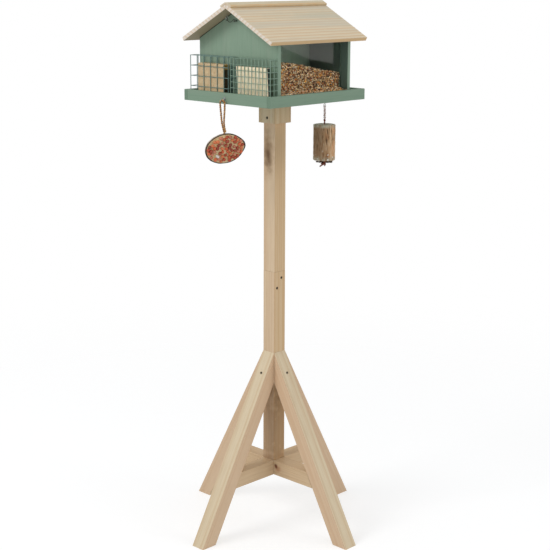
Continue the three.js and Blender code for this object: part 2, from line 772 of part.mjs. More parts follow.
// Hook and eye at each gable. The hook turns about the lowest wire of the roof's eye.
function buildLatches() {
  const loopZ =
    roofEyeBottom + EYE_WIRE_RADIUS + FIT_GAP + LATCH_WIRE_RADIUS - LATCH_LOOP_RADIUS;
  const barStart = ROOF_EYE_PLACE - LATCH_LOOP_RADIUS;
  const barLength = barStart - GABLE_EYE_PLACE;
  for (const [side, way] of [["left", -1], ["right", 1]]) {
    const x = way * latchX;
    const roofRingZ = roofEyeBottom + ROOF_EYE_RADIUS;
    const roofEye = join(
      wireRing([x, ROOF_EYE_PLACE, roofRingZ], ROOF_EYE_RADIUS, EYE_WIRE_RADIUS, "y"),
      bar(
        [x, ROOF_EYE_PLACE, roofRingZ + ROOF_EYE_RADIUS],
        [x, ROOF_EYE_PLACE, roofUnder(ROOF_EYE_PLACE) + EYE_SHANK_BITE],
        EYE_SHANK_RADIUS,
        WIRE_SIDES,
      ),
    );
    add(`roof_eye_${side}`, roofEye, STEEL);
    const gableEye = join(
      wireRing([x, GABLE_EYE_PLACE, gableEyeZ], GABLE_EYE_RADIUS, EYE_WIRE_RADIUS, "z"),
      bar(
        [x - way * GABLE_EYE_RADIUS, GABLE_EYE_PLACE, gableEyeZ],
        [way * (GABLE_OUTER - EYE_SHANK_BITE), GABLE_EYE_PLACE, gableEyeZ],
        EYE_SHANK_RADIUS,
        WIRE_SIDES,
      ),
    );
    add(`gable_eye_${side}`, gableEye, STEEL);
    const route = LATCH_BAR_SHARES.map(([along, up]) => [
      x,
      barStart - along * barLength,
      loopZ + up * barLength,
    ]);
    route.unshift([x, barStart, loopZ]);
    route.push([x, GABLE_EYE_PLACE, gableEyeZ - LATCH_TIP_LENGTH]);
    const hook = join(
      wireRing([x, ROOF_EYE_PLACE, loopZ], LATCH_LOOP_RADIUS, LATCH_WIRE_RADIUS, "x"),
      tube(route, LATCH_WIRE_RADIUS, WIRE_SIDES, HOOK_STEPS),
    );
    add(`latch_hook_${side}`, hook, STEEL);
  }
}

const cageFrontX = -rimInnerX + FIT_GAP;
const cageDepth = CHANNEL_WIDTH - FIT_GAP - CAGE_BACK_PLAY;
const cageLength = rimInnerY - CAGE_MIDDLE_HALF_GAP - FIT_GAP;

// Where the two faces of each wire lie along a row of equal gaps
function wireFaces(start, length, gaps) {
  const pitch = (length - CAGE_WIRE) / gaps;
  const faces = [];
  for (let wire = 0; wire <= gaps; wire += 1) {
    faces.push(start + wire * pitch, start + wire * pitch + CAGE_WIRE);
  }
  return faces;
}

// The same for mesh of a set size, cut to the length, so that its first gap takes what is left
function meshFaces(start, length, mesh) {
  const span = length - CAGE_WIRE;
  const gaps = Math.ceil((span - 2 * CAGE_WIRE) / mesh);
  const faces = [start, start + CAGE_WIRE];
  for (let wire = 1; wire <= gaps; wire += 1) {
    const reach = span - (gaps - wire) * mesh;
    faces.push(start + reach, start + reach + CAGE_WIRE);
  }
  return faces;
}

// The square between two cells, facing along an axis
function cellFace(faces, place, axis, way) {
  const [across, up] = [(axis + 1) % 3, (axis + 2) % 3];
  const corner = (alongAcross, alongUp) => {
    const point = [0, 0, 0];
    point[axis] = faces[axis][place[axis] + (way > 0 ? 1 : 0)];
    point[across] = faces[across][place[across] + alongAcross];
    point[up] = faces[up][place[up] + alongUp];
    return point;
  };
  const round = [corner(0, 0), corner(1, 0), corner(1, 1), corner(0, 1)];
  if (way < 0) round.reverse();
  return [round[0], round[1], round[2], round[0], round[2], round[3]].flat();
}

// An open-topped wire basket: front, back, two ends and a bottom. Its wires' faces divide its box
// into cells, and every second cell along a direction is a wire.
function cage(startY, mesh, rows, depthColumns) {
  const faces = [
    wireFaces(cageFrontX, cageDepth, depthColumns),
    meshFaces(startY, cageLength, mesh),
    wireFaces(floorTop + FIT_GAP, CAGE_HEIGHT, rows),
  ];
  const counts = faces.map((row) => row.length - 1);
  const isFilled = (place) => {
    if (place.some((cell, axis) => cell < 0 || cell >= counts[axis])) return false;
    const [x, y, z] = place;
    const inWall = [x === 0 || x === counts[0] - 1, y === 0 || y === counts[1] - 1, z === 0];
    const onWire = place.map((cell) => cell % 2 === 0);
    return inWall.some((inside, axis) => inside && (onWire[(axis + 1) % 3] || onWire[(axis + 2) % 3]));
  };
  const positions = [];
  for (let x = 0; x < counts[0]; x += 1) {
    for (let y = 0; y < counts[1]; y += 1) {
      for (let z = 0; z < counts[2]; z += 1) {
        const place = [x, y, z];
        if (!isFilled(place)) continue;
        for (let axis = 0; axis < 3; axis += 1) {
          for (const way of [-1, 1]) {
            const next = place.map((cell, index) => (index === axis ? cell + way : cell));
            if (!isFilled(next)) positions.push(...cellFace(faces, place, axis, way));
          }
        }
      }
    }
  }
  const basket = new THREE.BufferGeometry();
  basket.setAttribute("position", new THREE.Float32BufferAttribute(positions, 3));
  basket.computeVertexNormals();
  return basket;
}

// A suet cake with soft edges, lying in the YZ plane with its front face at x = 0
function suetCake(length, height, thickness) {
  const inner = outlineOf([
    [SUET_EDGE, SUET_EDGE],
    [length - SUET_EDGE, SUET_EDGE],
    [length - SUET_EDGE, height - SUET_EDGE],
    [SUET_EDGE, height - SUET_EDGE],
  ]);
  const cake = new THREE.ExtrudeGeometry(inner, {
    depth: thickness - 2 * SUET_EDGE,
    bevelEnabled: true,
    bevelSize: SUET_EDGE,
    bevelThickness: SUET_EDGE,
    bevelSegments: 2,
  });
  const turn = new THREE.Matrix4().makeBasis(
    new THREE.Vector3(0, 1, 0),
    new THREE.Vector3(0, 0, 1),
    new THREE.Vector3(1, 0, 0),
  );
  return cake.translate(0, 0, SUET_EDGE).applyMatrix4(turn);
}

function buildSuet() {
  add(
    "cage_coarse",
    cage(CAGE_MIDDLE_HALF_GAP, COARSE_MESH, COARSE_ROWS, COARSE_DEPTH_COLUMNS),
    GREEN_WIRE,
  );
  add(
    "cage_fine",
    cage(-CAGE_MIDDLE_HALF_GAP - cageLength, FINE_MESH, FINE_ROWS, FINE_DEPTH_COLUMNS),
    GREEN_WIRE,
  );
  const roomFront = cageFrontX + CAGE_WIRE;
  const roomDepth = cageDepth - 2 * CAGE_WIRE;
  const base = floorTop + FIT_GAP + CAGE_WIRE + SUET_BASE_GAP;
  const thickLength = cageLength - THICK_SUET_INSET - THICK_SUET_FAR_INSET;
  const thick = suetCake(thickLength, THICK_SUET_HEIGHT, roomDepth - THICK_SUET_PLAY);
  thick.translate(
    roomFront + THICK_SUET_PLAY / 2,
    CAGE_MIDDLE_HALF_GAP + THICK_SUET_INSET,
    base,
  );
  add("suet_block_thick", thick, SUET_TAN);
  const thinThickness = roomDepth - THIN_SUET_PLAY - THIN_SUET_LEAN;
  const thinLength = cageLength - THIN_SUET_INSET - THIN_SUET_FAR_INSET;
  const thin = suetCake(thinLength, THIN_SUET_HEIGHT, thinThickness);
  const lean = Math.asin(THIN_SUET_LEAN / THIN_SUET_HEIGHT);
  thin.rotateY(-lean);
  thin.translate(
    roomFront + THIN_SUET_LEAN + FIT_GAP,
    -CAGE_MIDDLE_HALF_GAP - THIN_SUET_INSET - thinLength,
    base + FIT_GAP,
  );
  add("suet_block_thin", thin, SUET_CREAM);
}

function buildCupHook() {
  const shankZ = POST_TOP + CUP_SHANK_RISE;
  const bowl = [];
  for (let step = 0; step <= CUP_BOWL_STEPS; step += 1) {
    const angle = (Math.PI * step) / CUP_BOWL_STEPS;
    bowl.push([
      cupHook.x + CUP_BOWL_RADIUS * Math.cos(angle),
      CUP_PLACE,
      cupHook.bowlZ - CUP_BOWL_RADIUS * Math.sin(angle),
    ]);
  }
  const throat = cupHook.x + CUP_BOWL_RADIUS;
  const route = [
    [-trayHalfX + CUP_SHANK_BITE, CUP_PLACE, shankZ],
    [-trayHalfX, CUP_PLACE, shankZ],
    [(throat - trayHalfX) / 2, CUP_PLACE, shankZ],
    ...bowl,
    [cupHook.x - CUP_BOWL_RADIUS, CUP_PLACE, shankZ],
  ];
  const plate = bar(
    [-trayHalfX - FIT_GAP, CUP_PLACE, shankZ],
    [-trayHalfX - FIT_GAP - CUP_PLATE, CUP_PLACE, shankZ],
    CUP_PLATE_RADIUS,
    SCREW_SIDES,
  );
  add("rim_hook", join(tube(route, CUP_WIRE_RADIUS, WIRE_SIDES, HOOK_STEPS), plate), STEEL);
}

// The shell's own frame: long axis, short axis up the face, and depth behind the face
function cocoPlacement() {
  const azimuth = THREE.MathUtils.degToRad(COCO_FACE_AZIMUTH_DEG);
  const down = THREE.MathUtils.degToRad(COCO_FACE_DOWN_DEG);
  const roll = THREE.MathUtils.degToRad(COCO_ROLL_DEG);
  const behind = new THREE.Vector3(
    Math.cos(azimuth) * Math.cos(down),
    Math.sin(azimuth) * Math.cos(down),
    Math.sin(down),
  );
  const level = new THREE.Vector3().crossVectors(behind, new THREE.Vector3(0, 0, 1)).normalize();
  const upright = new THREE.Vector3().crossVectors(level, behind);
  const long = level.clone().multiplyScalar(Math.cos(roll)).addScaledVector(upright, Math.sin(roll));
  const short = new THREE.Vector3().crossVectors(long, behind);
  const centre = new THREE.Vector3(-trayHalfX - COCO_OUT, COCO_ALONG, POST_TOP - COCO_DROP);
  return new THREE.Matrix4().makeBasis(long, behind, short).setPosition(centre);
}

// Half of an oval shell, turned about its depth and then stretched to its length
function ovalDome(halfWidth, depth, wall) {
  const outer = [];
  const inner = [];
  for (let ring = 0; ring <= SHELL_RINGS; ring += 1) {
    const angle = (Math.PI / 2) * (ring / SHELL_RINGS);
    const [across, behind] = [Math.sin(angle), Math.cos(angle)];
    outer.push(new THREE.Vector2(across * halfWidth, behind * depth));
    inner.unshift(new THREE.Vector2(across * (halfWidth - wall), behind * (depth - wall)));
  }
  outer[0].x = 0;
  inner[SHELL_RINGS].x = 0;
  const profile = wall ? [...outer, ...inner] : [...outer, new THREE.Vector2(0, -COCO_CROWN)];
  const dome = new THREE.LatheGeometry(profile.reverse(), SHELL_SIDES);
  return dome.scale(COCO_HALF_LENGTH / COCO_HALF_WIDTH, 1, 1);
}

function buildCoconut() {
  const placement = cocoPlacement();
  const shell = ovalDome(COCO_HALF_WIDTH, COCO_DEPTH, COCO_WALL);
  const cordHole = bar(
    [COCO_CORD_PLACE, COCO_CORD_BEHIND, COCO_HALF_WIDTH / 2],
    [COCO_CORD_PLACE, COCO_CORD_BEHIND, COCO_HALF_WIDTH + CUT_OVERRUN],
    JUTE_RADIUS + 2 * FIT_GAP,
    CORD_SIDES,
  );
  add("coconut_shell", cut(shell, cordHole).applyMatrix4(placement), SHELL);
  const room = COCO_WALL + FIT_GAP;
  const fill = ovalDome(COCO_HALF_WIDTH - room, COCO_DEPTH - room, 0);
  add("coconut_fill", fill.applyMatrix4(placement), NUT_FAT);
  add("jute_loop", tube(JUTE_ROUTE, JUTE_RADIUS, CORD_SIDES, JUTE_STEPS), JUTE);
}

// Bark outline: a round with low humps
function barkOutline(radius) {
  const points = [];
  for (let side = 0; side < LOG_SIDES; side += 1) {
    const angle = (2 * Math.PI * side) / LOG_SIDES;
    const hump = BARK_HUMP_SHARES.reduce((sum, [count, share]) => sum + share * Math.sin(count * angle), 1);
    points.push([radius * hump * Math.cos(angle), radius * hump * Math.sin(angle)]);
  }
  return points;
}

function buildLog() {
  const { y, z } = logEye;
  const x = LOG_PLACE;
  const eye = join(
    wireRing([x, y, z], LOG_EYE_RADIUS, EYE_WIRE_RADIUS, "x"),
    bar([x, y, z + LOG_EYE_RADIUS], [x, y, POST_TOP + EYE_SHANK_BITE], EYE_SHANK_RADIUS, WIRE_SIDES),
  );
  add("log_eye", eye, STEEL);
  const eyeBottom = z - LOG_EYE_RADIUS;
  const loopZ = eyeBottom + EYE_WIRE_RADIUS + FIT_GAP + CORD_LOOP_STRAND - CORD_LOOP_RADIUS;
  const logTop = POST_TOP - LOG_DROP;
  const logBase = logTop - LOG_HEIGHT;
  const upperKnotZ = logTop + TIE_NECK + TIE_KNOT_RADIUS;
  const cordBase = upperKnotZ + TIE_KNOT_RADIUS + FIT_GAP;
  const cord = join(
    wireRing([x, y, loopZ], CORD_LOOP_RADIUS, CORD_LOOP_STRAND, "y"),
    bar([x, y, cordBase], [x, y, loopZ - CORD_LOOP_RADIUS], CORD_RADIUS, CORD_SIDES),
  );
  add("log_cord", cord, PALE_CORD);
  const body = new THREE.ExtrudeGeometry(outlineOf(barkOutline(LOG_RADIUS - LOG_EDGE)), {
    depth: LOG_HEIGHT - 2 * LOG_EDGE,
    bevelEnabled: true,
    bevelSize: LOG_EDGE,
    bevelThickness: LOG_EDGE,
    bevelSegments: 2,
  }).translate(x, y, logBase + LOG_EDGE);
  const bore = bar(
    [x, y, logBase - CUT_OVERRUN],
    [x, y, logTop + CUT_OVERRUN],
    LOG_BORE_RADIUS,
    WIRE_SIDES,
  );
  add("log_body", cut(body, bore), BARK);
  const twigZ = logBase - TWIG_SLACK - TWIG_RADIUS - TWIG_BEND;
  const twigTurn = THREE.MathUtils.degToRad(TWIG_TURN_DEG);
  const [twigAcross, twigAlong] = [Math.cos(twigTurn), Math.sin(twigTurn)];
  const twigRoute = [-1, -1 / 3, 1 / 3, 1].map((share) => [
    x + (share * twigAcross * TWIG_LENGTH) / 2,
    y + (share * twigAlong * TWIG_LENGTH) / 2,
    twigZ + TWIG_BEND * Math.abs(share),
  ]);
  add("log_twig", tube(twigRoute, TWIG_RADIUS, CORD_SIDES, CORD_SIDES), DARK_TWIG);
  const knot = (radius) => new THREE.SphereGeometry(radius, SCREW_SIDES, WIRE_SIDES);
  const tie = join(
    knot(TIE_KNOT_RADIUS).translate(x, y, upperKnotZ),
    bar([x, y, twigZ], [x, y, upperKnotZ], TIE_RADIUS, CORD_SIDES),
    knot(TIE_LOWER_KNOT_RADIUS).translate(x, y, twigZ),
    bar(
      [x, y, twigZ - TIE_LOWER_KNOT_RADIUS / 2],
      [x - TIE_TAIL_REACH * twigAcross, y - TIE_TAIL_REACH * twigAlong, twigZ - TIE_TAIL_DROP],
      TIE_RADIUS,
      CORD_SIDES,
    ),
  );
  const clearTwig = tube(twigRoute, TWIG_RADIUS + FIT_GAP, CORD_SIDES, CORD_SIDES);
  const clearLog = block(
    x - LOG_RADIUS,
    x + LOG_RADIUS,
    y - LOG_RADIUS,
    y + LOG_RADIUS,
    logBase - FIT_GAP,
    logBase + TIE_LOWER_KNOT_RADIUS,
  );
  const core = bar(
    [x, y, logBase - CUT_OVERRUN],
    [x, y, logTop],
    LOG_BORE_RADIUS - FIT_GAP,
    WIRE_SIDES,
  );
  add("log_tie", cut(tie, clearTwig, cut(clearLog, core)), BROWN_TIE);
}

buildLegs();
buildBrace();
buildPost();
buildCollar();
buildTray();
buildHouse();
buildSeed();
buildRoof();
buildLatches();
buildSuet();
buildCupHook();
buildCoconut();
buildLog();

export default table;
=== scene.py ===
"""Looks of a free-standing pine bird table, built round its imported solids.

Lengths are metres in the part's own frame: +Z up, the roof's ridge along X, the clear front pane
towards -Y, and the gable with the suet cages towards -X.
"""

import logging
import math
import random
from collections.abc import Callable, Iterable, Sequence
from dataclasses import dataclass, field, replace
from enum import Enum

import bpy
import numpy as np
from mathutils import Matrix, Vector, noise

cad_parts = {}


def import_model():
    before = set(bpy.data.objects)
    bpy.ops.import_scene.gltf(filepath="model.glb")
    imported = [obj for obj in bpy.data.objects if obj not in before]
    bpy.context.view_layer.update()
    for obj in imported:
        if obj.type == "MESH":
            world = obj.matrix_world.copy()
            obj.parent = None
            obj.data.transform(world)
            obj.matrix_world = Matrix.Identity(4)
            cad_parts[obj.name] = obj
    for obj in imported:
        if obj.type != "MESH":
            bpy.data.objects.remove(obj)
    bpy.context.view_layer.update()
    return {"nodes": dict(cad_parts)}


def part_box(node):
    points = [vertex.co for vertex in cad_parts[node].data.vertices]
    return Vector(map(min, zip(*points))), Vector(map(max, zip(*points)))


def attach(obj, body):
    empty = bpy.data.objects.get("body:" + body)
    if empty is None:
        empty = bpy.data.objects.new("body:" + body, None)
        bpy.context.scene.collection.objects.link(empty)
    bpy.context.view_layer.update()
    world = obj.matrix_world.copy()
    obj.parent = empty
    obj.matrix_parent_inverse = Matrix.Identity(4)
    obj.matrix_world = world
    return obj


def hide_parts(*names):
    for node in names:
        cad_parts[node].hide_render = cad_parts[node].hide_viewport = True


LOG = logging.getLogger("bird_table")
TINT_LAYER = "own_tint"
MM = 0.001
LEAST = 1e-6
WELD_REACH = 0.01 * MM
RING_SCALE = 0.314  # A ring pattern's scale times the distance between its rings.
UP = Vector((0, 0, 1))
WHITE = (1, 1, 1, 1)

Colour = tuple[float, float, float, float]
Face = tuple[int, ...]
Point = tuple[float, float, float]
Material = bpy.types.Material
Piece = bpy.types.Object
Socket = bpy.types.NodeSocket
Thickness = Callable[[float], float]


def tint(red: float, green: float, blue: float) -> Colour:
    """Turns a colour as seen, 0 to 255, into the linear one that a shader takes.

    Args:
        red: Red as seen on a screen.
        green: Green as seen on a screen.
        blue: Blue as seen on a screen.

    Returns:
        The linear colour with full cover.
    """
    seen = [value / 255 for value in (red, green, blue)]
    # The screen's usual curve is straight near black and a power above that.
    linear = [share / 12.92 if share <= 0.04045 else ((share + 0.055) / 1.055) ** 2.4 for share in seen]
    return (*linear, 1.0)


class Grain(Enum):
    """The way that the fibres of a board or stick run."""

    ALONG_X = (1.0, 0.0, 0.0)
    ALONG_Y = (0.0, 1.0, 0.0)
    UPRIGHT = (0.0, 0.0, 1.0)
    LEG_RIGHT = (-0.4821, 0.0, 0.8761)
    LEG_LEFT = (0.4821, 0.0, 0.8761)
    LEG_BACK = (0.0, -0.4821, 0.8761)
    LEG_FRONT = (0.0, 0.4821, 0.8761)
    TWIG = (0.6984, -0.7157, 0.0)

    def turn(self) -> Point:
        """Returns the turn, in radians, that lays these fibres along Z."""
        return tuple(Vector(self.value).rotation_difference(UP).to_euler())


class NodeTree:
    """A tree of shader nodes and short ways to add to it."""

    def __init__(self, tree: bpy.types.NodeTree) -> None:
        """Takes over a tree."""
        self.tree = tree

    def feed(self, node: bpy.types.Node, feeds: dict) -> None:
        """Fills in a node's inputs.

        Args:
            node: The node.
            feeds: What goes into each input, a value or another node's output.
        """
        for key, value in feeds.items():
            if isinstance(value, Socket):
                self.tree.links.new(value, node.inputs[key])
            else:
                node.inputs[key].default_value = value

    def node(self, kind: str, feeds: dict | None = None, **settings: object) -> bpy.types.Node:
        """Adds a node.

        Args:
            kind: Blender's name of the node's type.
            feeds: What goes into each input, a value or another node's output.
            **settings: The node's own settings.

        Returns:
            The new node.
        """
        made = self.tree.nodes.new(kind)
        for key, value in settings.items():
            setattr(made, key, value)
        self.feed(made, feeds or {})
        return made

    def reckon(self, way: str, first: Socket, second: object = 0.0) -> Socket:
        """Returns the result of one operation on a value or two."""
        return self.node("ShaderNodeMath", {0: first, 1: second}, operation=way).outputs[0]

    def times(self, first: Socket, second: object) -> Socket:
        """Returns the product of two values."""
        return self.reckon("MULTIPLY", first, second)

    def plus(self, first: Socket, second: object) -> Socket:
        """Returns the sum of two values."""
        return self.reckon("ADD", first, second)

    def vector(self, way: str, first: Socket, second: Point = (0, 0, 0)) -> bpy.types.Node:
        """Returns a node that holds the result of one operation on two vectors."""
        return self.node("ShaderNodeVectorMath", {0: first, 1: second}, operation=way)

    def scaled(self, place: Socket, *by: float) -> Socket:
        """Returns a place with each of its axes stretched by its own factor."""
        return self.vector("MULTIPLY", place, by).outputs[0]

    def length(self, place: Socket) -> Socket:
        """Returns a vector's length."""
        return self.vector("LENGTH", place).outputs["Value"]

    def mottle(self, place: Socket, scale: float, detail: float = 3.0, twist: float = 0.0) -> Socket:
        """Returns soft noise from 0 to 1 at a place; scale is in features for each metre."""
        feeds = {"Vector": place, "Scale": scale, "Detail": detail, "Distortion": twist}
        return self.node("ShaderNodeTexNoise", feeds).outputs["Fac"]

    def crumbs(self, place: Socket, scale: float) -> Socket:
        """Returns the distance to the nearest of scattered points; scale is in points for each metre."""
        return self.node("ShaderNodeTexVoronoi", {"Vector": place, "Scale": scale}).outputs["Distance"]

    def rings(self, place: Socket, gap: float, profile: str, **feeds: float) -> Socket:
        """Returns growth rings round Z.

        Args:
            place: Where they are asked for.
            gap: From one ring to the next, in metres.
            profile: Blender's name for how each ring rises and falls.
            **feeds: Other inputs, with underscores for spaces.

        Returns:
            The rings' strength from 0 to 1.
        """
        named = {key.replace("_", " "): value for key, value in feeds.items()}
        named |= {"Vector": place, "Scale": RING_SCALE / gap}
        settings = {"wave_type": "RINGS", "rings_direction": "Z", "wave_profile": profile}
        return self.node("ShaderNodeTexWave", named, **settings).outputs["Fac"]

    def band(self, value: Socket, low: float, high: float, start: float = 0.0, end: float = 1.0) -> Socket:
        """Returns a value stretched from low..high to start..end and held there."""
        feeds = {"Value": value, "From Min": low, "From Max": high, "To Min": start, "To Max": end}
        return self.node("ShaderNodeMapRange", feeds, clamp=True).outputs[0]

    def ramp(self, value: Socket, stops: Sequence[tuple[float, Colour]]) -> Socket:
        """Returns the colour that a value picks from a row of stops.

        Args:
            value: What picks the colour.
            stops: Each stop's place from 0 to 1 and its colour, at least two.

        Returns:
            The colour's socket.
        """
        made = self.node("ShaderNodeValToRGB", {"Fac": value})
        elements = made.color_ramp.elements
        while len(elements) < len(stops):
            elements.new(0.5)
        for element, (place, colour) in zip(elements, stops, strict=True):
            element.position = place
            element.color = colour
        return made.outputs["Color"]

    def blend(self, share: object, first: object, second: object) -> Socket:
        """Returns two colours mixed by a share of the second."""
        feeds = {0: share, 6: first, 7: second}
        return self.node("ShaderNodeMix", feeds, data_type="RGBA").outputs[2]


class Recipe(NodeTree):
    """A material in the making."""

    def __init__(self, name: str, **sockets: object) -> None:
        """Starts a material.

        Args:
            name: The material's name.
            **sockets: Values of the shader's own sockets, with underscores for spaces.
        """
        self.material = bpy.data.materials.new(name)
        self.material.use_nodes = True
        super().__init__(self.material.node_tree)
        self.shader = self.tree.nodes["Principled BSDF"]
        self.feed(self.shader, {socket.replace("_", " "): value for socket, value in sockets.items()})
        coordinates = self.node("ShaderNodeTexCoord")
        self.place = coordinates.outputs["Object"]
        self.normal = coordinates.outputs["Normal"]

    def away(self, point: Point) -> Socket:
        """Returns the way here from a point."""
        return self.vector("SUBTRACT", self.place, point).outputs[0]

    def axis(self, name: str) -> Socket:
        """Returns the place along one axis, X, Y or Z."""
        return self.node("ShaderNodeSeparateXYZ", {0: self.place}).outputs[name]

    def facing(self, way: Point) -> Socket:
        """Returns how squarely a face looks one way, from -1 to 1."""
        return self.vector("DOT_PRODUCT", self.normal, way).outputs["Value"]

    def show(self, surface: Socket) -> Material:
        """Shows a surface of its own instead of the shader, and returns the material."""
        self.feed(self.tree.nodes["Material Output"], {"Surface": surface})
        return self.material

    def done(
        self, colour: object, roughness: Socket, height: Socket, depth: float, strength: float = 1.0
    ) -> Material:
        """Gives the shader its colour, roughness and relief.

        Args:
            colour: The base colour.
            roughness: The roughness.
            height: The relief from 0 to 1.
            depth: What a height of 1 stands for, in metres.
            strength: How much of the relief shows.

        Returns:
            The finished material.
        """
        bump = self.node("ShaderNodeBump", {"Height": height, "Distance": depth, "Strength": strength})
        ends = {"Base Color": colour, "Roughness": roughness, "Normal": bump.outputs["Normal"]}
        self.feed(self.shader, ends)
        return self.material


class Mark:
    """Something that lies over a board's own colour."""

    colour: Colour

    def share(self, recipe: Recipe) -> Socket:
        """Returns how much of the mark's colour shows at a place."""
        raise NotImplementedError

    def lay(self, recipe: Recipe, under: Socket) -> Socket:
        """Returns a colour with the mark mixed over it."""
        return recipe.blend(self.share(recipe), under, self.colour)


@dataclass(frozen=True)
class KnotOrShade(Mark):
    """A soft-edged knot, stain or patch of painted shade: where it is, how far it reaches and its colour."""

    centre: Point
    reach: Point
    colour: Colour
    cover: float = 1.0
    core: float = 0.25
    ragged: float = 0.18

    def share(self, recipe: Recipe) -> Socket:
        """Works out the knot's cover, full in its core and ragged towards its edge.

        Args:
            recipe: The material in the making.

        Returns:
            The cover's socket.
        """
        scaled = recipe.scaled(recipe.away(self.centre), *(1 / reach for reach in self.reach))
        wavy = recipe.band(recipe.mottle(recipe.place, 60, 2), 0.3, 0.7, -self.ragged, self.ragged)
        return recipe.band(recipe.plus(recipe.length(scaled), wavy), self.core, 1.0, self.cover, 0.0)


@dataclass(frozen=True)
class FaceTint(Mark):
    """A tint on those faces of a board that look one way, used for real tones and for painted shade."""

    way: Point
    colour: Colour
    cover: float = 0.7

    def share(self, recipe: Recipe) -> Socket:
        """Returns the tint's cover, on the faces that look its way."""
        return recipe.band(recipe.facing(self.way), 0.6, 0.9, 0.0, self.cover)


@dataclass(frozen=True)
class RoofGapShadow(Mark):
    """Painted shadow along a gable's two sloping edges, in the gap under the roof boards."""

    ridge: float
    slope: float
    width: float
    colour: Colour
    cover: float = 0.9

    def share(self, recipe: Recipe) -> Socket:
        """Returns the painted shadow's cover, near the slopes that run down from the ridge."""
        out = recipe.reckon("ABSOLUTE", recipe.axis("Y"))
        level = recipe.plus(recipe.axis("Z"), recipe.times(out, self.slope))
        return recipe.band(level, self.ridge - self.width, self.ridge - 0.6 * self.width, 0.0, self.cover)


@dataclass(frozen=True)
class TimberFinish:
    """Planed softwood, bare or stained: pale early wood, darker late rings and broad streaks."""

    early: Colour
    late: Colour
    streak: Colour
    fleck: Colour
    end: Colour
    ring_gap: float = 4.2 * MM
    ring_cover: float = 0.55
    streak_cover: float = 0.6
    fleck_cover: float = 0.45
    roughness: float = 0.62
    relief: float = 0.12 * MM
    streak_scale: float = 46
    fibre_scale: float = 900
    pore_scale: float = 420

    def material(self, name: str, grain: Grain, pith: Point, marks: Iterable[Mark] = ()) -> Material:
        """Makes one board's material.

        Args:
            name: The board's name.
            grain: The way its fibres run.
            pith: A point on the tree's middle line, which sets how its rings cross the faces.
            marks: Knots, tinted faces and painted shade that lie on it.

        Returns:
            The material.
        """
        recipe = Recipe(f"timber_{name}", Specular_IOR_Level=0.3)
        feeds = {"Vector": recipe.away(pith), "Rotation": grain.turn()}
        laid = recipe.node("ShaderNodeMapping", feeds).outputs[0]
        wander = {"Distortion": 3.2, "Detail": 2.0, "Detail_Scale": 0.35, "Detail_Roughness": 0.55}
        rings = recipe.rings(recipe.scaled(laid, 1, 1, 0.045), self.ring_gap, "SAW", **wander)
        broad = recipe.mottle(recipe.scaled(laid, 1, 1, 0.05), self.streak_scale, 3, 0.6)
        fibres = recipe.mottle(recipe.scaled(laid, 1, 1, 0.018), self.fibre_scale, 2)
        pores = recipe.mottle(recipe.scaled(laid, 1, 1, 0.06), self.pore_scale, 2)
        late_share = recipe.times(recipe.band(rings, 0.45, 0.97), self.ring_cover)
        colour = recipe.blend(late_share, self.early, self.late)
        colour = recipe.blend(recipe.band(broad, 0.47, 0.72, 0.0, self.streak_cover), colour, self.streak)
        colour = recipe.blend(recipe.band(fibres, 0.5, 0.78, 0.0, self.fleck_cover), colour, self.fleck)
        for mark in marks:
            colour = mark.lay(recipe, colour)
        sawn = recipe.blend(recipe.times(late_share, 0.7), self.end, self.late)
        sawn = recipe.blend(recipe.band(pores, 0.5, 0.8, 0, 0.5), sawn, self.fleck)
        squareness = recipe.reckon("ABSOLUTE", recipe.facing(grain.value))
        colour = recipe.blend(recipe.band(squareness, 0.7, 0.9), colour, sawn)
        roughness = recipe.band(pores, 0.3, 0.75, self.roughness - 0.07, self.roughness + 0.1)
        height = recipe.plus(recipe.times(fibres, 0.6), recipe.times(rings, 0.4))
        return recipe.done(colour, roughness, height, self.relief)


@dataclass(frozen=True)
class MetalFinish:
    """Drawn wire or a screw: bright or dark, with faint stains."""

    colour: Colour
    stain: Colour
    roughness: float
    metal: float = 1.0
    relief: float = 0.03 * MM

    def material(self, name: str) -> Material:
        """Makes the metal's material.

        Args:
            name: The material's name.

        Returns:
            The material.
        """
        recipe = Recipe(f"metal_{name}", Metallic=self.metal)
        cloud = recipe.mottle(recipe.place, 240)
        colour = recipe.blend(recipe.band(cloud, 0.4, 0.7, 0, 0.6), self.colour, self.stain)
        roughness = recipe.band(cloud, 0.3, 0.7, self.roughness - 0.06, self.roughness + 0.12)
        return recipe.done(colour, roughness, recipe.mottle(recipe.place, 1500, 2), self.relief)


@dataclass(frozen=True)
class CoatedWireFinish:
    """Wire dipped in coloured plastic, with a soft shine and small runs."""

    colour: Colour
    shade: Colour
    relief: float = 0.06 * MM

    def material(self, name: str) -> Material:
        """Makes the coated wire's material.

        Args:
            name: The material's name.

        Returns:
            The material.
        """
        recipe = Recipe(f"coated_{name}", Specular_IOR_Level=0.35, Coat_Weight=0.1, Coat_Roughness=0.35)
        cloud = recipe.mottle(recipe.place, 160)
        colour = recipe.blend(recipe.band(cloud, 0.35, 0.7), self.colour, self.shade)
        roughness = recipe.band(cloud, 0.3, 0.7, 0.34, 0.5)
        return recipe.done(colour, roughness, recipe.mottle(recipe.place, 700, 2), self.relief)


@dataclass(frozen=True)
class ClearFinish:
    """Clear sheet with a light haze of dust from the seed."""

    colour: Colour
    bend: float = 1.49
    relief: float = 0.05 * MM

    def material(self, name: str) -> Material:
        """Makes the clear sheet's material.

        Args:
            name: The material's name.

        Returns:
            The material.
        """
        recipe = Recipe(f"clear_{name}", Transmission_Weight=1.0, IOR=self.bend)
        haze = recipe.band(recipe.mottle(recipe.place, 35, 4), 0.4, 0.75, 0.01, 0.06)
        return recipe.done(self.colour, haze, recipe.mottle(recipe.place, 18, 1), self.relief, 0.15)


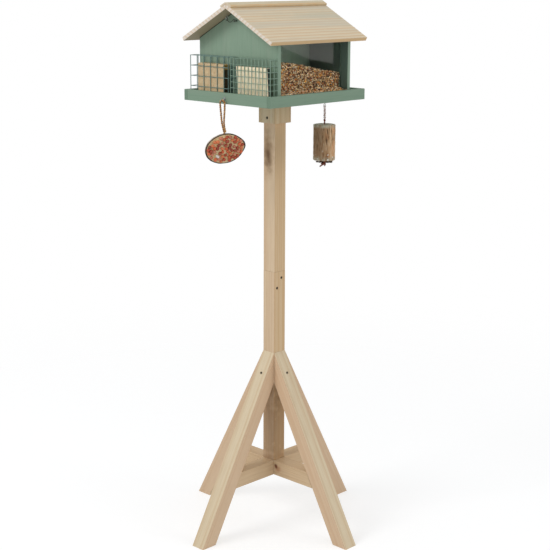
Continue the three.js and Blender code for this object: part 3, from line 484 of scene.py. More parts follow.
@dataclass(frozen=True)
class SuetFinish:
    """Pressed suet: a soft ground with paler fat, darker crumbs and the marks of its mould."""

    ground: Colour
    fat: Colour
    crumb: Colour
    roughness: float = 0.55
    depth_of_light: Point = (4 * MM, 2 * MM, 1 * MM)
    relief: float = 0.5 * MM

    def material(self, name: str) -> Material:
        """Makes the suet's material.

        Args:
            name: The material's name.

        Returns:
            The material.
        """
        recipe = Recipe(f"suet_{name}", Specular_IOR_Level=0.35, Subsurface_Weight=0.08)
        recipe.feed(recipe.shader, {"Subsurface Radius": self.depth_of_light})
        cloud = recipe.mottle(recipe.place, 90, 4)
        colour = recipe.blend(recipe.band(cloud, 0.42, 0.66), self.ground, self.fat)
        bits = recipe.crumbs(recipe.place, 330)
        chosen = recipe.band(recipe.mottle(recipe.place, 260, 1), 0.52, 0.58)
        bit_share = recipe.times(recipe.band(bits, 0.2, 0.42, 1, 0), chosen)
        colour = recipe.blend(recipe.times(bit_share, 0.8), colour, self.crumb)
        roughness = recipe.band(cloud, 0.3, 0.7, self.roughness - 0.1, self.roughness + 0.15)
        height = recipe.plus(recipe.times(bits, 0.5), recipe.mottle(recipe.place, 700))
        return recipe.done(colour, roughness, height, self.relief)


@dataclass(frozen=True)
class FibreFinish:
    """Spun fibre: jute, cotton or twine, fuzzy and without shine."""

    colour: Colour
    shade: Colour
    light: Colour
    relief: float = 0.35 * MM

    def material(self, name: str) -> Material:
        """Makes the fibre's material.

        Args:
            name: The material's name.

        Returns:
            The material.
        """
        recipe = Recipe(f"fibre_{name}", Specular_IOR_Level=0.15, Sheen_Weight=0.3, Sheen_Roughness=0.5)
        hairs = recipe.mottle(recipe.scaled(recipe.place, 1, 1, 0.25), 2600)
        cloud = recipe.mottle(recipe.place, 320)
        colour = recipe.blend(recipe.band(hairs, 0.4, 0.64), self.shade, self.colour)
        colour = recipe.blend(recipe.band(cloud, 0.5, 0.72, 0, 0.75), colour, self.light)
        return recipe.done(colour, recipe.band(hairs, 0.3, 0.7, 0.8, 0.98), hairs, self.relief)


@dataclass(frozen=True)
class TintedFinish:
    """Small pieces that each carry their own colour, such as seeds and peanuts."""

    roughness: float
    fleck: Colour
    specular: float = 0.4
    relief: float = 0.15 * MM

    def material(self, name: str) -> Material:
        """Makes the material that reads each piece's own colour.

        Args:
            name: The material's name.

        Returns:
            The material.
        """
        recipe = Recipe(f"tinted_{name}", Specular_IOR_Level=self.specular)
        own = recipe.node("ShaderNodeAttribute", attribute_name=TINT_LAYER).outputs["Color"]
        cloud = recipe.mottle(recipe.place, 900)
        colour = recipe.blend(recipe.band(cloud, 0.48, 0.72, 0, 0.4), own, self.fleck)
        roughness = recipe.band(cloud, 0.3, 0.7, self.roughness - 0.1, self.roughness + 0.15)
        return recipe.done(colour, roughness, cloud, self.relief)


@dataclass(frozen=True)
class HuskFinish:
    """Coconut shell: brown-grey with fibre lines along it and dark patches."""

    pale: Colour
    dark: Colour
    line: Colour
    relief: float = 0.6 * MM

    def material(self, name: str, placement: Matrix) -> Material:
        """Makes the shell's material.

        Args:
            name: The material's name.
            placement: The shell's own frame; its fibres run along that frame's X.

        Returns:
            The material.
        """
        recipe = Recipe(f"husk_{name}", Specular_IOR_Level=0.3)
        back = placement.inverted()
        feeds = {"Rotation": tuple(back.to_euler()), "Location": tuple(back.translation)}
        feeds["Vector"] = recipe.place
        own = recipe.node("ShaderNodeMapping", feeds).outputs[0]
        lines = recipe.mottle(recipe.scaled(own, 0.12, 1, 1), 800)
        patches = recipe.mottle(recipe.scaled(own, 0.6, 1, 1), 48, 4)
        colour = recipe.blend(recipe.band(patches, 0.36, 0.5), self.dark, self.pale)
        colour = recipe.blend(recipe.band(lines, 0.5, 0.68, 0, 0.6), colour, self.line)
        height = recipe.plus(lines, recipe.times(patches, 0.6))
        return recipe.done(colour, recipe.band(lines, 0.3, 0.7, 0.5, 0.8), height, self.relief)


@dataclass(frozen=True)
class BarkFinish:
    """Rough bark: upright furrows, brown ground, grey rims and pale specks low down."""

    ground: Colour
    furrow: Colour
    light: Colour
    warm: Colour
    rim: Colour
    speck: Colour
    relief: float = 2.4 * MM

    def material(self, name: str, axis: Point, top: float, base: float) -> Material:
        """Makes the bark's material.

        Args:
            name: The material's name.
            axis: A point on the log's own axis.
            top: Height of the log's upper end.
            base: Height of its lower end.

        Returns:
            The material.
        """
        recipe = Recipe(f"bark_{name}", Specular_IOR_Level=0.2)
        furrows = recipe.mottle(recipe.scaled(recipe.place, 1, 1, 0.13), 300, 5, 0.3)
        broad = recipe.mottle(recipe.scaled(recipe.place, 1, 1, 0.4), 38)
        warmth = recipe.mottle(recipe.scaled(recipe.place, 1, 1, 0.5), 70)
        stops = [(0.36, self.furrow), (0.46, self.ground), (0.54, self.ground), (0.66, self.light)]
        colour = recipe.ramp(furrows, stops)
        colour = recipe.blend(recipe.band(broad, 0.45, 0.65, 0.0, 0.16), colour, self.furrow)
        colour = recipe.blend(recipe.band(warmth, 0.52, 0.66, 0.0, 0.55), colour, self.warm)
        # The bark darkens towards the log's -X side.
        darker_side = recipe.band(recipe.axis("X"), axis[0] - 26 * MM, axis[0] - 3 * MM, 0.68, 0.0)
        colour = recipe.blend(darker_side, colour, self.furrow)
        height = recipe.axis("Z")
        upper_rim = recipe.band(height, top - 9 * MM, top - 3 * MM)
        rims = recipe.plus(upper_rim, recipe.band(height, base + 3 * MM, base + 12 * MM, 0.8, 0))
        ragged = recipe.times(rims, recipe.band(recipe.mottle(recipe.place, 120), 0.3, 0.55))
        colour = recipe.blend(ragged, colour, self.rim)
        low = recipe.band(height, base + 6 * MM, base + 30 * MM, 1, 0)
        bits = recipe.times(low, recipe.band(recipe.crumbs(recipe.place, 120), 0.2, 0.34, 1, 0))
        specks = recipe.times(bits, recipe.band(recipe.mottle(recipe.place, 120, 1), 0.48, 0.54))
        colour = recipe.blend(specks, colour, self.speck)
        fine = recipe.times(recipe.mottle(recipe.scaled(recipe.place, 1, 1, 0.3), 900), 0.3)
        roughness = recipe.band(furrows, 0.3, 0.7, 0.95, 0.75)
        return recipe.done(colour, roughness, recipe.plus(furrows, fine), self.relief)


@dataclass(frozen=True)
class SawnEndFinish:
    """A log's sawn end, with rings round the log's own axis and fine cracks."""

    early: Colour
    late: Colour
    crack: Colour
    ring_gap: float = 2.2 * MM
    relief: float = 0.4 * MM

    def material(self, name: str, axis: Point) -> Material:
        """Makes the sawn end's material.

        Args:
            name: The material's name.
            axis: A point on the log's own axis.

        Returns:
            The material.
        """
        recipe = Recipe(f"sawn_{name}", Specular_IOR_Level=0.2)
        rings = recipe.rings(recipe.scaled(recipe.away(axis), 1, 1, 0), self.ring_gap, "SIN", Distortion=1.6)
        cracks = recipe.mottle(recipe.place, 420, 4)
        colour = recipe.blend(recipe.band(rings, 0.3, 0.9, 0, 0.6), self.early, self.late)
        colour = recipe.blend(recipe.band(cracks, 0.5, 0.7, 0, 0.7), colour, self.crack)
        roughness = recipe.band(cracks, 0.3, 0.7, 0.8, 0.95)
        return recipe.done(colour, roughness, recipe.plus(rings, cracks), self.relief)


PINE = TimberFinish(
    early=tint(224, 206, 175),
    late=tint(204, 170, 126),
    streak=tint(212, 190, 157),
    fleck=tint(184, 153, 114),
    end=tint(226, 210, 190),
    ring_gap=6.0 * MM,
    ring_cover=0.5,
)
POST_PINE = TimberFinish(
    early=tint(220, 198, 163),
    late=tint(196, 160, 116),
    streak=tint(202, 172, 134),
    fleck=tint(172, 139, 101),
    end=tint(212, 190, 158),
    ring_gap=7.0 * MM,
    ring_cover=0.65,
)
BRACE_PINE = replace(POST_PINE, early=tint(216, 190, 155), ring_cover=0.22, streak_cover=0.4)
ROOF_PINE = TimberFinish(
    early=tint(224, 208, 180),
    late=tint(210, 172, 122),
    streak=tint(206, 199, 180),
    fleck=tint(192, 164, 130),
    end=tint(230, 220, 207),
    ring_gap=11.0 * MM,
    ring_cover=0.75,
    streak_cover=0.85,
)
CAP_PINE = TimberFinish(
    early=tint(212, 198, 168),
    late=tint(196, 172, 132),
    streak=tint(200, 190, 162),
    fleck=tint(180, 156, 120),
    end=tint(222, 208, 186),
)
SAGE_STAIN = TimberFinish(
    early=tint(137, 161, 140),
    late=tint(118, 146, 126),
    streak=tint(146, 163, 144),
    fleck=tint(108, 134, 114),
    end=tint(112, 136, 116),
    ring_gap=13.0 * MM,
    ring_cover=0.12,
    streak_cover=0.5,
    roughness=0.6,
    relief=0.1 * MM,
)
# A darker copy of the sage stain for the rims and the tray floor: painted shade.
SHADED_RIM_STAIN = replace(
    SAGE_STAIN, early=tint(126, 150, 129), late=tint(108, 136, 116), streak=tint(134, 152, 133)
)
TWIG_BARK = TimberFinish(
    early=tint(72, 50, 38),
    late=tint(38, 28, 22),
    streak=tint(96, 68, 50),
    fleck=tint(28, 20, 16),
    end=tint(150, 118, 88),
    ring_gap=1.6 * MM,
)
BRIGHT_WIRE = MetalFinish(tint(205, 206, 204), tint(150, 148, 142), 0.28)
RIM_HOOK_WIRE = MetalFinish(tint(150, 152, 150), tint(88, 90, 88), 0.34)
HOOK_WIRE = MetalFinish(tint(84, 86, 80), tint(46, 48, 44), 0.4)
DARK_SCREW = MetalFinish(tint(74, 69, 62), tint(44, 40, 36), 0.42, 0.85)
COARSE_WIRE = CoatedWireFinish(tint(108, 136, 128), tint(84, 112, 106))
FINE_WIRE = CoatedWireFinish(tint(128, 153, 134), tint(114, 140, 122))
ACRYLIC = ClearFinish((0.97, 0.985, 0.98, 1.0))
TAN_SUET = SuetFinish(tint(196, 170, 130), tint(210, 186, 148), tint(170, 136, 94))
CREAM_SUET = SuetFinish(tint(246, 229, 194), tint(252, 240, 212), tint(218, 184, 138))
# Painted shade on the suet cakes' end faces; the thick cake's ends are painted lighter near the top.
TAN_END_SHADE = SuetFinish(tint(70, 56, 34), tint(84, 68, 42), tint(42, 34, 24), 0.7)
DARK_END_SHADE = SuetFinish(tint(30, 44, 40), tint(40, 54, 48), tint(18, 26, 24), 0.7)
MUSTARD_END_TOP_LIGHT = SuetFinish(tint(172, 136, 66), tint(188, 152, 82), tint(140, 104, 52))
FAT = SuetFinish(tint(204, 172, 122), tint(228, 206, 160), tint(138, 80, 48), 0.5)
JUTE = FibreFinish(tint(228, 176, 108), tint(182, 128, 68), tint(238, 204, 150))
# A darker copy of the jute for every second strand: painted shade between the strands.
SHADED_JUTE_STRAND = FibreFinish(tint(180, 124, 66), tint(118, 74, 36), tint(208, 160, 98))
PALE_CORD = FibreFinish(tint(244, 238, 233), tint(196, 178, 170), tint(252, 249, 246))
# A darker copy of the pale cord for every second strand: painted shade between the strands.
SHADED_CORD_STRAND = FibreFinish(tint(206, 182, 170), tint(150, 118, 106), tint(234, 220, 212))
BROWN_TWINE = FibreFinish(tint(156, 78, 52), tint(92, 44, 32), tint(184, 104, 74))
SEED_COAT = TintedFinish(0.5, tint(150, 104, 66))
PEANUT_SKIN = TintedFinish(0.42, tint(140, 56, 34), 0.5)
HUSK = HuskFinish(tint(192, 171, 152), tint(124, 104, 88), tint(74, 62, 52))
# The shell's cut rim and inside are dark shell; the rim's dark colour is also painted shade.
HUSK_EDGE = HuskFinish(tint(66, 56, 50), tint(46, 40, 36), tint(34, 30, 28))
BARK = BarkFinish(
    ground=tint(206, 166, 124),
    furrow=tint(102, 80, 57),
    light=tint(230, 205, 170),
    warm=tint(196, 134, 88),
    rim=tint(178, 172, 150),
    speck=tint(232, 228, 218),
)
SAWN_END = SawnEndFinish(tint(208, 200, 180), tint(164, 150, 124), tint(124, 110, 90))


def mesh_piece(
    name: str,
    points: Sequence[Sequence[float]] | np.ndarray,
    faces: Sequence[Face],
    finishes: Sequence[Material],
    smooth: bool = True,
) -> Piece:
    """Makes a mesh object in the part's frame.

    Args:
        name: The piece's name.
        points: Its corners, in metres.
        faces: Each face's corners by number.
        finishes: Its materials; the first is on every face.
        smooth: Whether its faces shade smoothly into each other.

    Returns:
        The new object.
    """
    mesh = bpy.data.meshes.new(name)
    mesh.from_pydata([tuple(map(float, p)) for p in points], [], faces)
    mesh.validate()
    for finish in finishes:
        mesh.materials.append(finish)
    mesh.polygons.foreach_set("use_smooth", [smooth] * len(mesh.polygons))
    mesh.update()
    piece = bpy.data.objects.new(name, mesh)
    bpy.context.scene.collection.objects.link(piece)
    return piece


def settle(piece: Piece, body: str, stands_for: Iterable[str] = ()) -> None:
    """Ties a new piece to the part.

    Args:
        piece: The piece, already in its place.
        body: The body that it moves with.
        stands_for: The part's nodes that it is shown instead of.
    """
    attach(piece, body)
    if stands_for:
        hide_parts(*stands_for)
    LOG.info("%s rides on %s, %d faces", piece.name, body, len(piece.data.polygons))


def dress(node: Piece, finish: Material) -> None:
    """Gives one of the part's own nodes its finish.

    Args:
        node: The node.
        finish: What it is made of.
    """
    node.data.materials.clear()
    node.data.materials.append(finish)
    LOG.info("%s is dressed in %s", node.name, finish.name)


def join_faces(node: Piece) -> None:
    """Joins the corners that a node's faces share."""
    node.modifiers.new("join_faces", "WELD").merge_threshold = WELD_REACH


def ease_edges(node: Piece, radius: float) -> None:
    """Rounds the sharp edges of a planed board a little.

    Args:
        node: One of the part's nodes.
        radius: The rounding's size in metres.
    """
    join_faces(node)
    bevel = node.modifiers.new("eased_edges", "BEVEL")
    bevel.width = radius
    bevel.segments = 2
    bevel.limit_method = "ANGLE"
    bevel.angle_limit = math.radians(35)
    flat = node.modifiers.new("flat_faces", "WEIGHTED_NORMAL")
    flat.keep_sharp = False
    flat.weight = 80


def round_wire(node: Piece) -> None:
    """Makes a faceted wire round."""
    join_faces(node)
    swell = node.modifiers.new("round", "SUBSURF")
    swell.levels = 1
    swell.render_levels = 1


def around(sides: int) -> list[float]:
    """Returns the angles of a ring's corners, in radians."""
    return [2 * math.pi * side / sides for side in range(sides)]


def swing(first: Vector, second: Vector, angle: float) -> Vector:
    """Returns the way that lies at an angle from a first way towards a second one."""
    return first * math.cos(angle) + second * math.sin(angle)


def uneven(x: float, y: float, z: float) -> float:
    """Returns smooth chance from -1 to 1 at a place."""
    return noise.noise(Vector((x, y, z)))


def skin(rows: int, sides: int, start: int = 0, other_way: bool = False) -> list[Face]:
    """Joins rings of corners into a closed skin.

    Args:
        rows: How many rings there are.
        sides: How many corners each ring has.
        start: The number of the first ring's first corner.
        other_way: Whether the rings turn the other way round.

    Returns:
        The faces: the bands from ring to ring, then the first and the last ring.
    """
    faces: list[Face] = []
    for low in range(start, start + (rows - 1) * sides, sides):
        for side in range(sides):
            a, b = low + side, low + (side + 1) % sides
            faces.append((b, a, a + sides, b + sides) if other_way else (a, b, b + sides, a + sides))
    last = start + (rows - 1) * sides
    ends = [tuple(range(start, start + sides)), tuple(range(last, last + sides))]
    turned = 1 if other_way else 0
    ends[turned] = tuple(reversed(ends[turned]))
    return faces + ends


def smooth_route(route: Sequence[Point], step: float) -> list[Vector]:
    """Draws a smooth line through points.

    Args:
        route: The points, in metres.
        step: How far apart the line's own points are to be.

    Returns:
        The line's points, evenly spaced.
    """
    parts = 24
    given = [Vector(p) for p in route]
    ends = [2 * given[0] - given[1], *given, 2 * given[-1] - given[-2]]
    fine: list[Vector] = []
    for before, start, end, after in zip(ends, ends[1:], ends[2:], ends[3:], strict=False):
        spans = ((before, start), (start, end), (end, after))
        knots = [0.0]
        for one, other in spans:
            knots.append(knots[-1] + max((other - one).length ** 0.5, LEAST))
        first, second, third, fourth = knots
        for part in range(parts):
            t = second + (third - second) * part / parts
            low = [
                (p * (high - t) + q * (t - below)) / (high - below)
                for below, high, (p, q) in zip(knots, knots[1:], spans, strict=False)
            ]
            left = (low[0] * (third - t) + low[1] * (t - first)) / (third - first)
            right = (low[1] * (fourth - t) + low[2] * (t - second)) / (fourth - second)
            fine.append((left * (third - t) + right * (t - second)) / (third - second))
    fine.append(given[-1])
    lengths = [0.0]
    for one, other in zip(fine, fine[1:], strict=False):
        lengths.append(lengths[-1] + (other - one).length)
    count = max(2, round(lengths[-1] / step))
    spaced: list[Vector] = []
    at = 0
    for number in range(count + 1):
        wanted = lengths[-1] * number / count
        while at < len(fine) - 2 and lengths[at + 1] < wanted:
            at += 1
        span = max(lengths[at + 1] - lengths[at], LEAST)
        spaced.append(fine[at].lerp(fine[at + 1], (wanted - lengths[at]) / span))
    return spaced


def line_length(line: Sequence[Vector]) -> float:
    """Returns a line's length from point to point."""
    return sum((b - a).length for a, b in zip(line, line[1:], strict=False))


@dataclass
class TwistedCord:
    """Cord of strands laid round each other, swept along a line."""

    strands: int
    radius: float
    pitch: float
    sides: int = 9
    share: float = 0.6
    fuzz: float = 0.09
    fuzz_scale: float = 900

    def frames(self, line: Sequence[Vector]) -> list[tuple[Vector, Vector]]:
        """Works out two directions square to a line at each of its points, which twist as little as can be.

        Args:
            line: Evenly spaced points.

        Returns:
            The two directions for each point.
        """
        ends = [line[0], *line, line[-1]]
        directions = [(after - before).normalized() for before, after in zip(ends, ends[2:], strict=False)]
        side = directions[0].orthogonal().normalized()
        frames = []
        for direction in directions:
            side = (side - direction * side.dot(direction)).normalized()
            frames.append((side, direction.cross(side)))
        return frames

    def sweep(self, line: Sequence[Vector], thin: Thickness | None = None) -> tuple[list, list]:
        """Builds the strands along a line.

        Args:
            line: Evenly spaced points of the cord's middle line.
            thin: The cord's thickness along the line, 0 to 1 to a factor; none for an even cord.

        Returns:
            The corners and the faces.
        """
        strand = self.radius * self.share
        orbit = self.radius - strand
        step = (line[1] - line[0]).length
        frames = self.frames(line)
        points: list[Vector] = []
        faces: list[Face] = []
        for number in range(self.strands):
            faces += skin(len(line), self.sides, len(points))
            for ring, (middle, (first, second)) in enumerate(zip(line, frames, strict=True)):
                factor = thin(ring / (len(line) - 1)) if thin else 1.0
                phase = 2 * math.pi * (number / self.strands + ring * step / self.pitch)
                lobe = middle + swing(first, second, phase) * orbit * factor
                for corner, turn in enumerate(around(self.sides)):
                    seed = middle * self.fuzz_scale + Vector((corner * 3.1, number * 7.0, 0))
                    reach = strand * factor * (1 + self.fuzz * noise.noise(seed))
                    points.append(lobe + swing(first, second, phase + turn) * reach)
        return points, faces

    def hang(
        self,
        name: str,
        tie: tuple[str, str, str],
        line: Sequence[Vector],
        start: Point,
        diameter: float,
        finishes: Sequence[Material],
        thin: Thickness | None = None,
    ) -> None:
        """Args:
            name: The cord's name.
            tie: The body that it moves with, a material slot that is not used, and the node that it is shown
                for.
            line: Its middle line.
            start: Where it leaves what holds it; not used.
            diameter: How thick it is as a cord; not used.
            finishes: Two materials; every second strand has the second, a darker copy that paints the shade
                between the strands.
            thin: Its thickness along the line, as for sweep.
        """
        body, slot, node = tie
        points, faces = self.sweep(line, thin)
        cord = mesh_piece(name, points, faces, finishes)
        each = len(cord.data.polygons) // self.strands
        for number, face in enumerate(cord.data.polygons):
            # Every second strand takes the darker copy, which paints the shade between the strands.
            face.material_index = number // each % 2
        settle(cord, body, [node])


def ball_rings(rings: int, sides: int) -> tuple[np.ndarray, list[Face]]:
    """Makes a closed unit ball of rings.

    Args:
        rings: How many rings lie between the poles.
        sides: How many corners each ring has.

    Returns:
        The corners, one to a row, and the faces.
    """
    points = [(0.0, 0.0, 1.0)]
    for ring in range(1, rings + 1):
        down = math.pi * ring / (rings + 1)
        reach, height = math.sin(down), math.cos(down)
        for side in range(sides):
            angle = 2 * math.pi * (side + 0.5 * (ring % 2)) / sides
            points.append((reach * math.cos(angle), reach * math.sin(angle), height))
    points.append((0.0, 0.0, -1.0))
    faces: list[Face] = [(0, 1 + side, 1 + (side + 1) % sides) for side in range(sides)]
    for ring in range(rings - 1):
        low, high = 1 + ring * sides, 1 + (ring + 1) * sides
        for side in range(sides):
            a, b = low + side, low + (side + 1) % sides
            c, d = high + side, high + (side + 1) % sides
            faces += [(a, c, d), (a, d, b)] if ring % 2 else [(a, c, b), (b, c, d)]
    last = 1 + (rings - 1) * sides
    faces += [(len(points) - 1, last + (side + 1) % sides, last + side) for side in range(sides)]
    return np.array(points), faces


def tint_points(piece: Piece, tints: np.ndarray) -> None:
    """Stores each corner's own colour, one linear colour to a row, on a piece."""
    layer = piece.data.color_attributes.new(TINT_LAYER, "FLOAT_COLOR", "POINT")
    layer.data.foreach_set("color", tints.astype(np.float32).ravel())


@dataclass(frozen=True)
class Lamp:
    """A soft square lamp: where it hangs, what it points at, its power in watts and its side."""

    name: str
    place: Point
    target: Point
    power: float
    size: float

    def hang(self) -> None:
        """Hangs the lamp in the scene."""
        data = bpy.data.lights.new(self.name, "AREA")
        data.energy = self.power
        data.size = self.size
        lamp = bpy.data.objects.new(self.name, data)
        bpy.context.scene.collection.objects.link(lamp)
        lamp.location = self.place
        lamp.rotation_mode = "QUATERNION"
        lamp.rotation_quaternion = (Vector(self.target) - Vector(self.place)).to_track_quat("-Z", "Y")


@dataclass
class Studio:
    """The camera, a key lamp at the upper left, a weak fill lamp, the white room, the pale floor and two
    sheets that paint a reflection in the clear pane.
    """

    eye: Point = (-2.4394, -2.3842, 1.4840)
    ahead: Point = (0.69664, 0.68016, -0.22755)
    roll: float = math.radians(0.2)
    focal_length: float = 86.6
    sensor: float = 36
    sight: float = 100
    lamps: tuple[Lamp, ...] = (
        Lamp("key_lamp", (-3.6, 1.0, 3.9), (0, 0, 1.0), 78, 2.0),
        Lamp("fill_lamp", (1.6, -4.2, 2.0), (0, 0, 0.8), 36, 2.4),
    )
    room_colour: Colour = (0.97, 0.985, 1.0, 1.0)
    room_strength: float = 0.62
    floor_colour: Colour = (0.83, 0.83, 0.83, 1)
    seen_floor_colour: Colour = (0.5, 0.5, 0.5, 1)
    seen_floor_glow: float = 0.59
    floor_radius: float = 3.2
    floor_fades: tuple[float, float] = (0.5, 2.6)
    floor_corners: int = 96
    # Painted reflection: a dark sheet and a glowing pale card that only polished surfaces see.
    reflection_sheet_colour: Colour = (1, 0.97, 0.93, 1)
    dark_reflection_glow: float = 0.03
    pale_reflection_glow: float = 0.6
    dark_reflection_sheet: tuple[Point, ...] = (
        (1.055, -1.620, 1.446),
        (1.615, -1.074, 1.446),
        (1.474, -0.931, 0.740),
        (0.914, -1.477, 0.740),
    )
    pale_reflection_sheet: tuple[Point, ...] = (
        (0.812, -1.056, 1.290),
        (0.835, -1.016, 1.215),
        (0.895, -0.941, 1.175),
        (0.955, -0.874, 1.159),
        (0.980, -0.873, 1.231),
        (0.995, -0.873, 1.290),
    )

    def build(self) -> None:
        """Sets up the whole studio."""
        bpy.context.scene.view_settings.view_transform = "Standard"
        self.place_camera()
        for lamp in self.lamps:
            lamp.hang()
        self.room()
        self.floor()
        self.screen("dark_reflection_sheet", self.dark_reflection_sheet, self.dark_reflection_glow)
        self.screen("pale_reflection_sheet", self.pale_reflection_sheet, self.pale_reflection_glow)

    def place_camera(self) -> None:
        """Puts the camera where the photograph was taken from."""
        ahead = Vector(self.ahead).normalized()
        level = ahead.cross(UP).normalized()
        upward = level.cross(ahead)
        right, top = swing(level, upward, self.roll), swing(upward, -level, self.roll)
        data = bpy.data.cameras.new("camera")
        data.sensor_width = self.sensor
        data.lens = self.focal_length
        data.clip_end = self.sight
        camera = bpy.data.objects.new("camera", data)
        bpy.context.scene.collection.objects.link(camera)
        turned = Matrix((right, top, -ahead)).transposed().to_4x4()
        camera.matrix_world = Matrix.Translation(Vector(self.eye)) @ turned
        bpy.context.scene.camera = camera
        LOG.info("camera placed")

    def room(self) -> None:
        """Makes the room's even light, and the white that the camera and reflections see."""
        world = bpy.data.worlds.new("room")
        world.use_nodes = True
        world.node_tree.nodes.clear()
        bpy.context.scene.world = world
        tree = NodeTree(world.node_tree)
        rays = tree.node("ShaderNodeLightPath").outputs
        either = tree.reckon("MAXIMUM", rays["Is Camera Ray"], rays["Is Glossy Ray"])
        seen = tree.reckon("MAXIMUM", either, rays["Is Transmission Ray"])
        even = tree.node("ShaderNodeBackground", {"Color": self.room_colour, "Strength": self.room_strength})
        white = tree.node("ShaderNodeBackground", {"Color": WHITE})
        mix = tree.node("ShaderNodeMixShader", {0: seen, 1: even.outputs[0], 2: white.outputs[0]})
        tree.node("ShaderNodeOutputWorld", {"Surface": mix.outputs[0]})

    def floor(self) -> None:
        """Lays a pale round floor that fades into the white of the room."""
        rim = []
        for number in range(self.floor_corners):
            angle = number * math.pi / (self.floor_corners / 2)
            rim.append((self.floor_radius * math.cos(angle), self.floor_radius * math.sin(angle), 0.0))
        recipe = Recipe("pale_floor", Roughness=0.9, Specular_IOR_Level=0.0, Base_Color=self.floor_colour)
        seen = recipe.node("ShaderNodeLightPath").outputs["Is Camera Ray"]
        inner_gable_shade = recipe.node("ShaderNodeBsdfDiffuse", {"Color": self.seen_floor_colour}).outputs[0]
        feeds = {"Color": WHITE, "Strength": self.seen_floor_glow}
        glow = recipe.node("ShaderNodeEmission", feeds).outputs[0]
        lit = recipe.node("ShaderNodeAddShader", {0: inner_gable_shade, 1: glow}).outputs[0]
        ground = recipe.node("ShaderNodeMixShader", {0: seen, 1: recipe.shader.outputs[0], 2: lit}).outputs[0]
        near, far = self.floor_fades
        feeds = {"Value": recipe.length(recipe.place), "From Min": near, "From Max": far}
        settings = {"clamp": True, "interpolation_type": "SMOOTHSTEP"}
        share = recipe.node("ShaderNodeMapRange", feeds, **settings).outputs[0]
        clear = recipe.node("ShaderNodeBsdfTransparent").outputs[0]
        mix = recipe.node("ShaderNodeMixShader", {0: share, 1: ground, 2: clear}).outputs[0]
        faces = [tuple(range(self.floor_corners))]
        mesh_piece("studio_floor", rim, faces, [recipe.show(mix)], smooth=False)

    def screen(self, name: str, outline: Sequence[Point], glow: float) -> None:
        """Stands a sheet that only polished surfaces see, which paints a reflection on them.

        Args:
            name: The screen's name.
            outline: Its corners.
            glow: How bright it is.
        """
        recipe = Recipe(name)
        light = recipe.node("ShaderNodeEmission", {"Color": self.reflection_sheet_colour, "Strength": glow}).outputs[0]
        sheet = mesh_piece(name, outline, [tuple(range(len(outline)))], [recipe.show(light)], smooth=False)
        sheet.visible_camera = False
        sheet.visible_diffuse = False
        sheet.visible_shadow = False


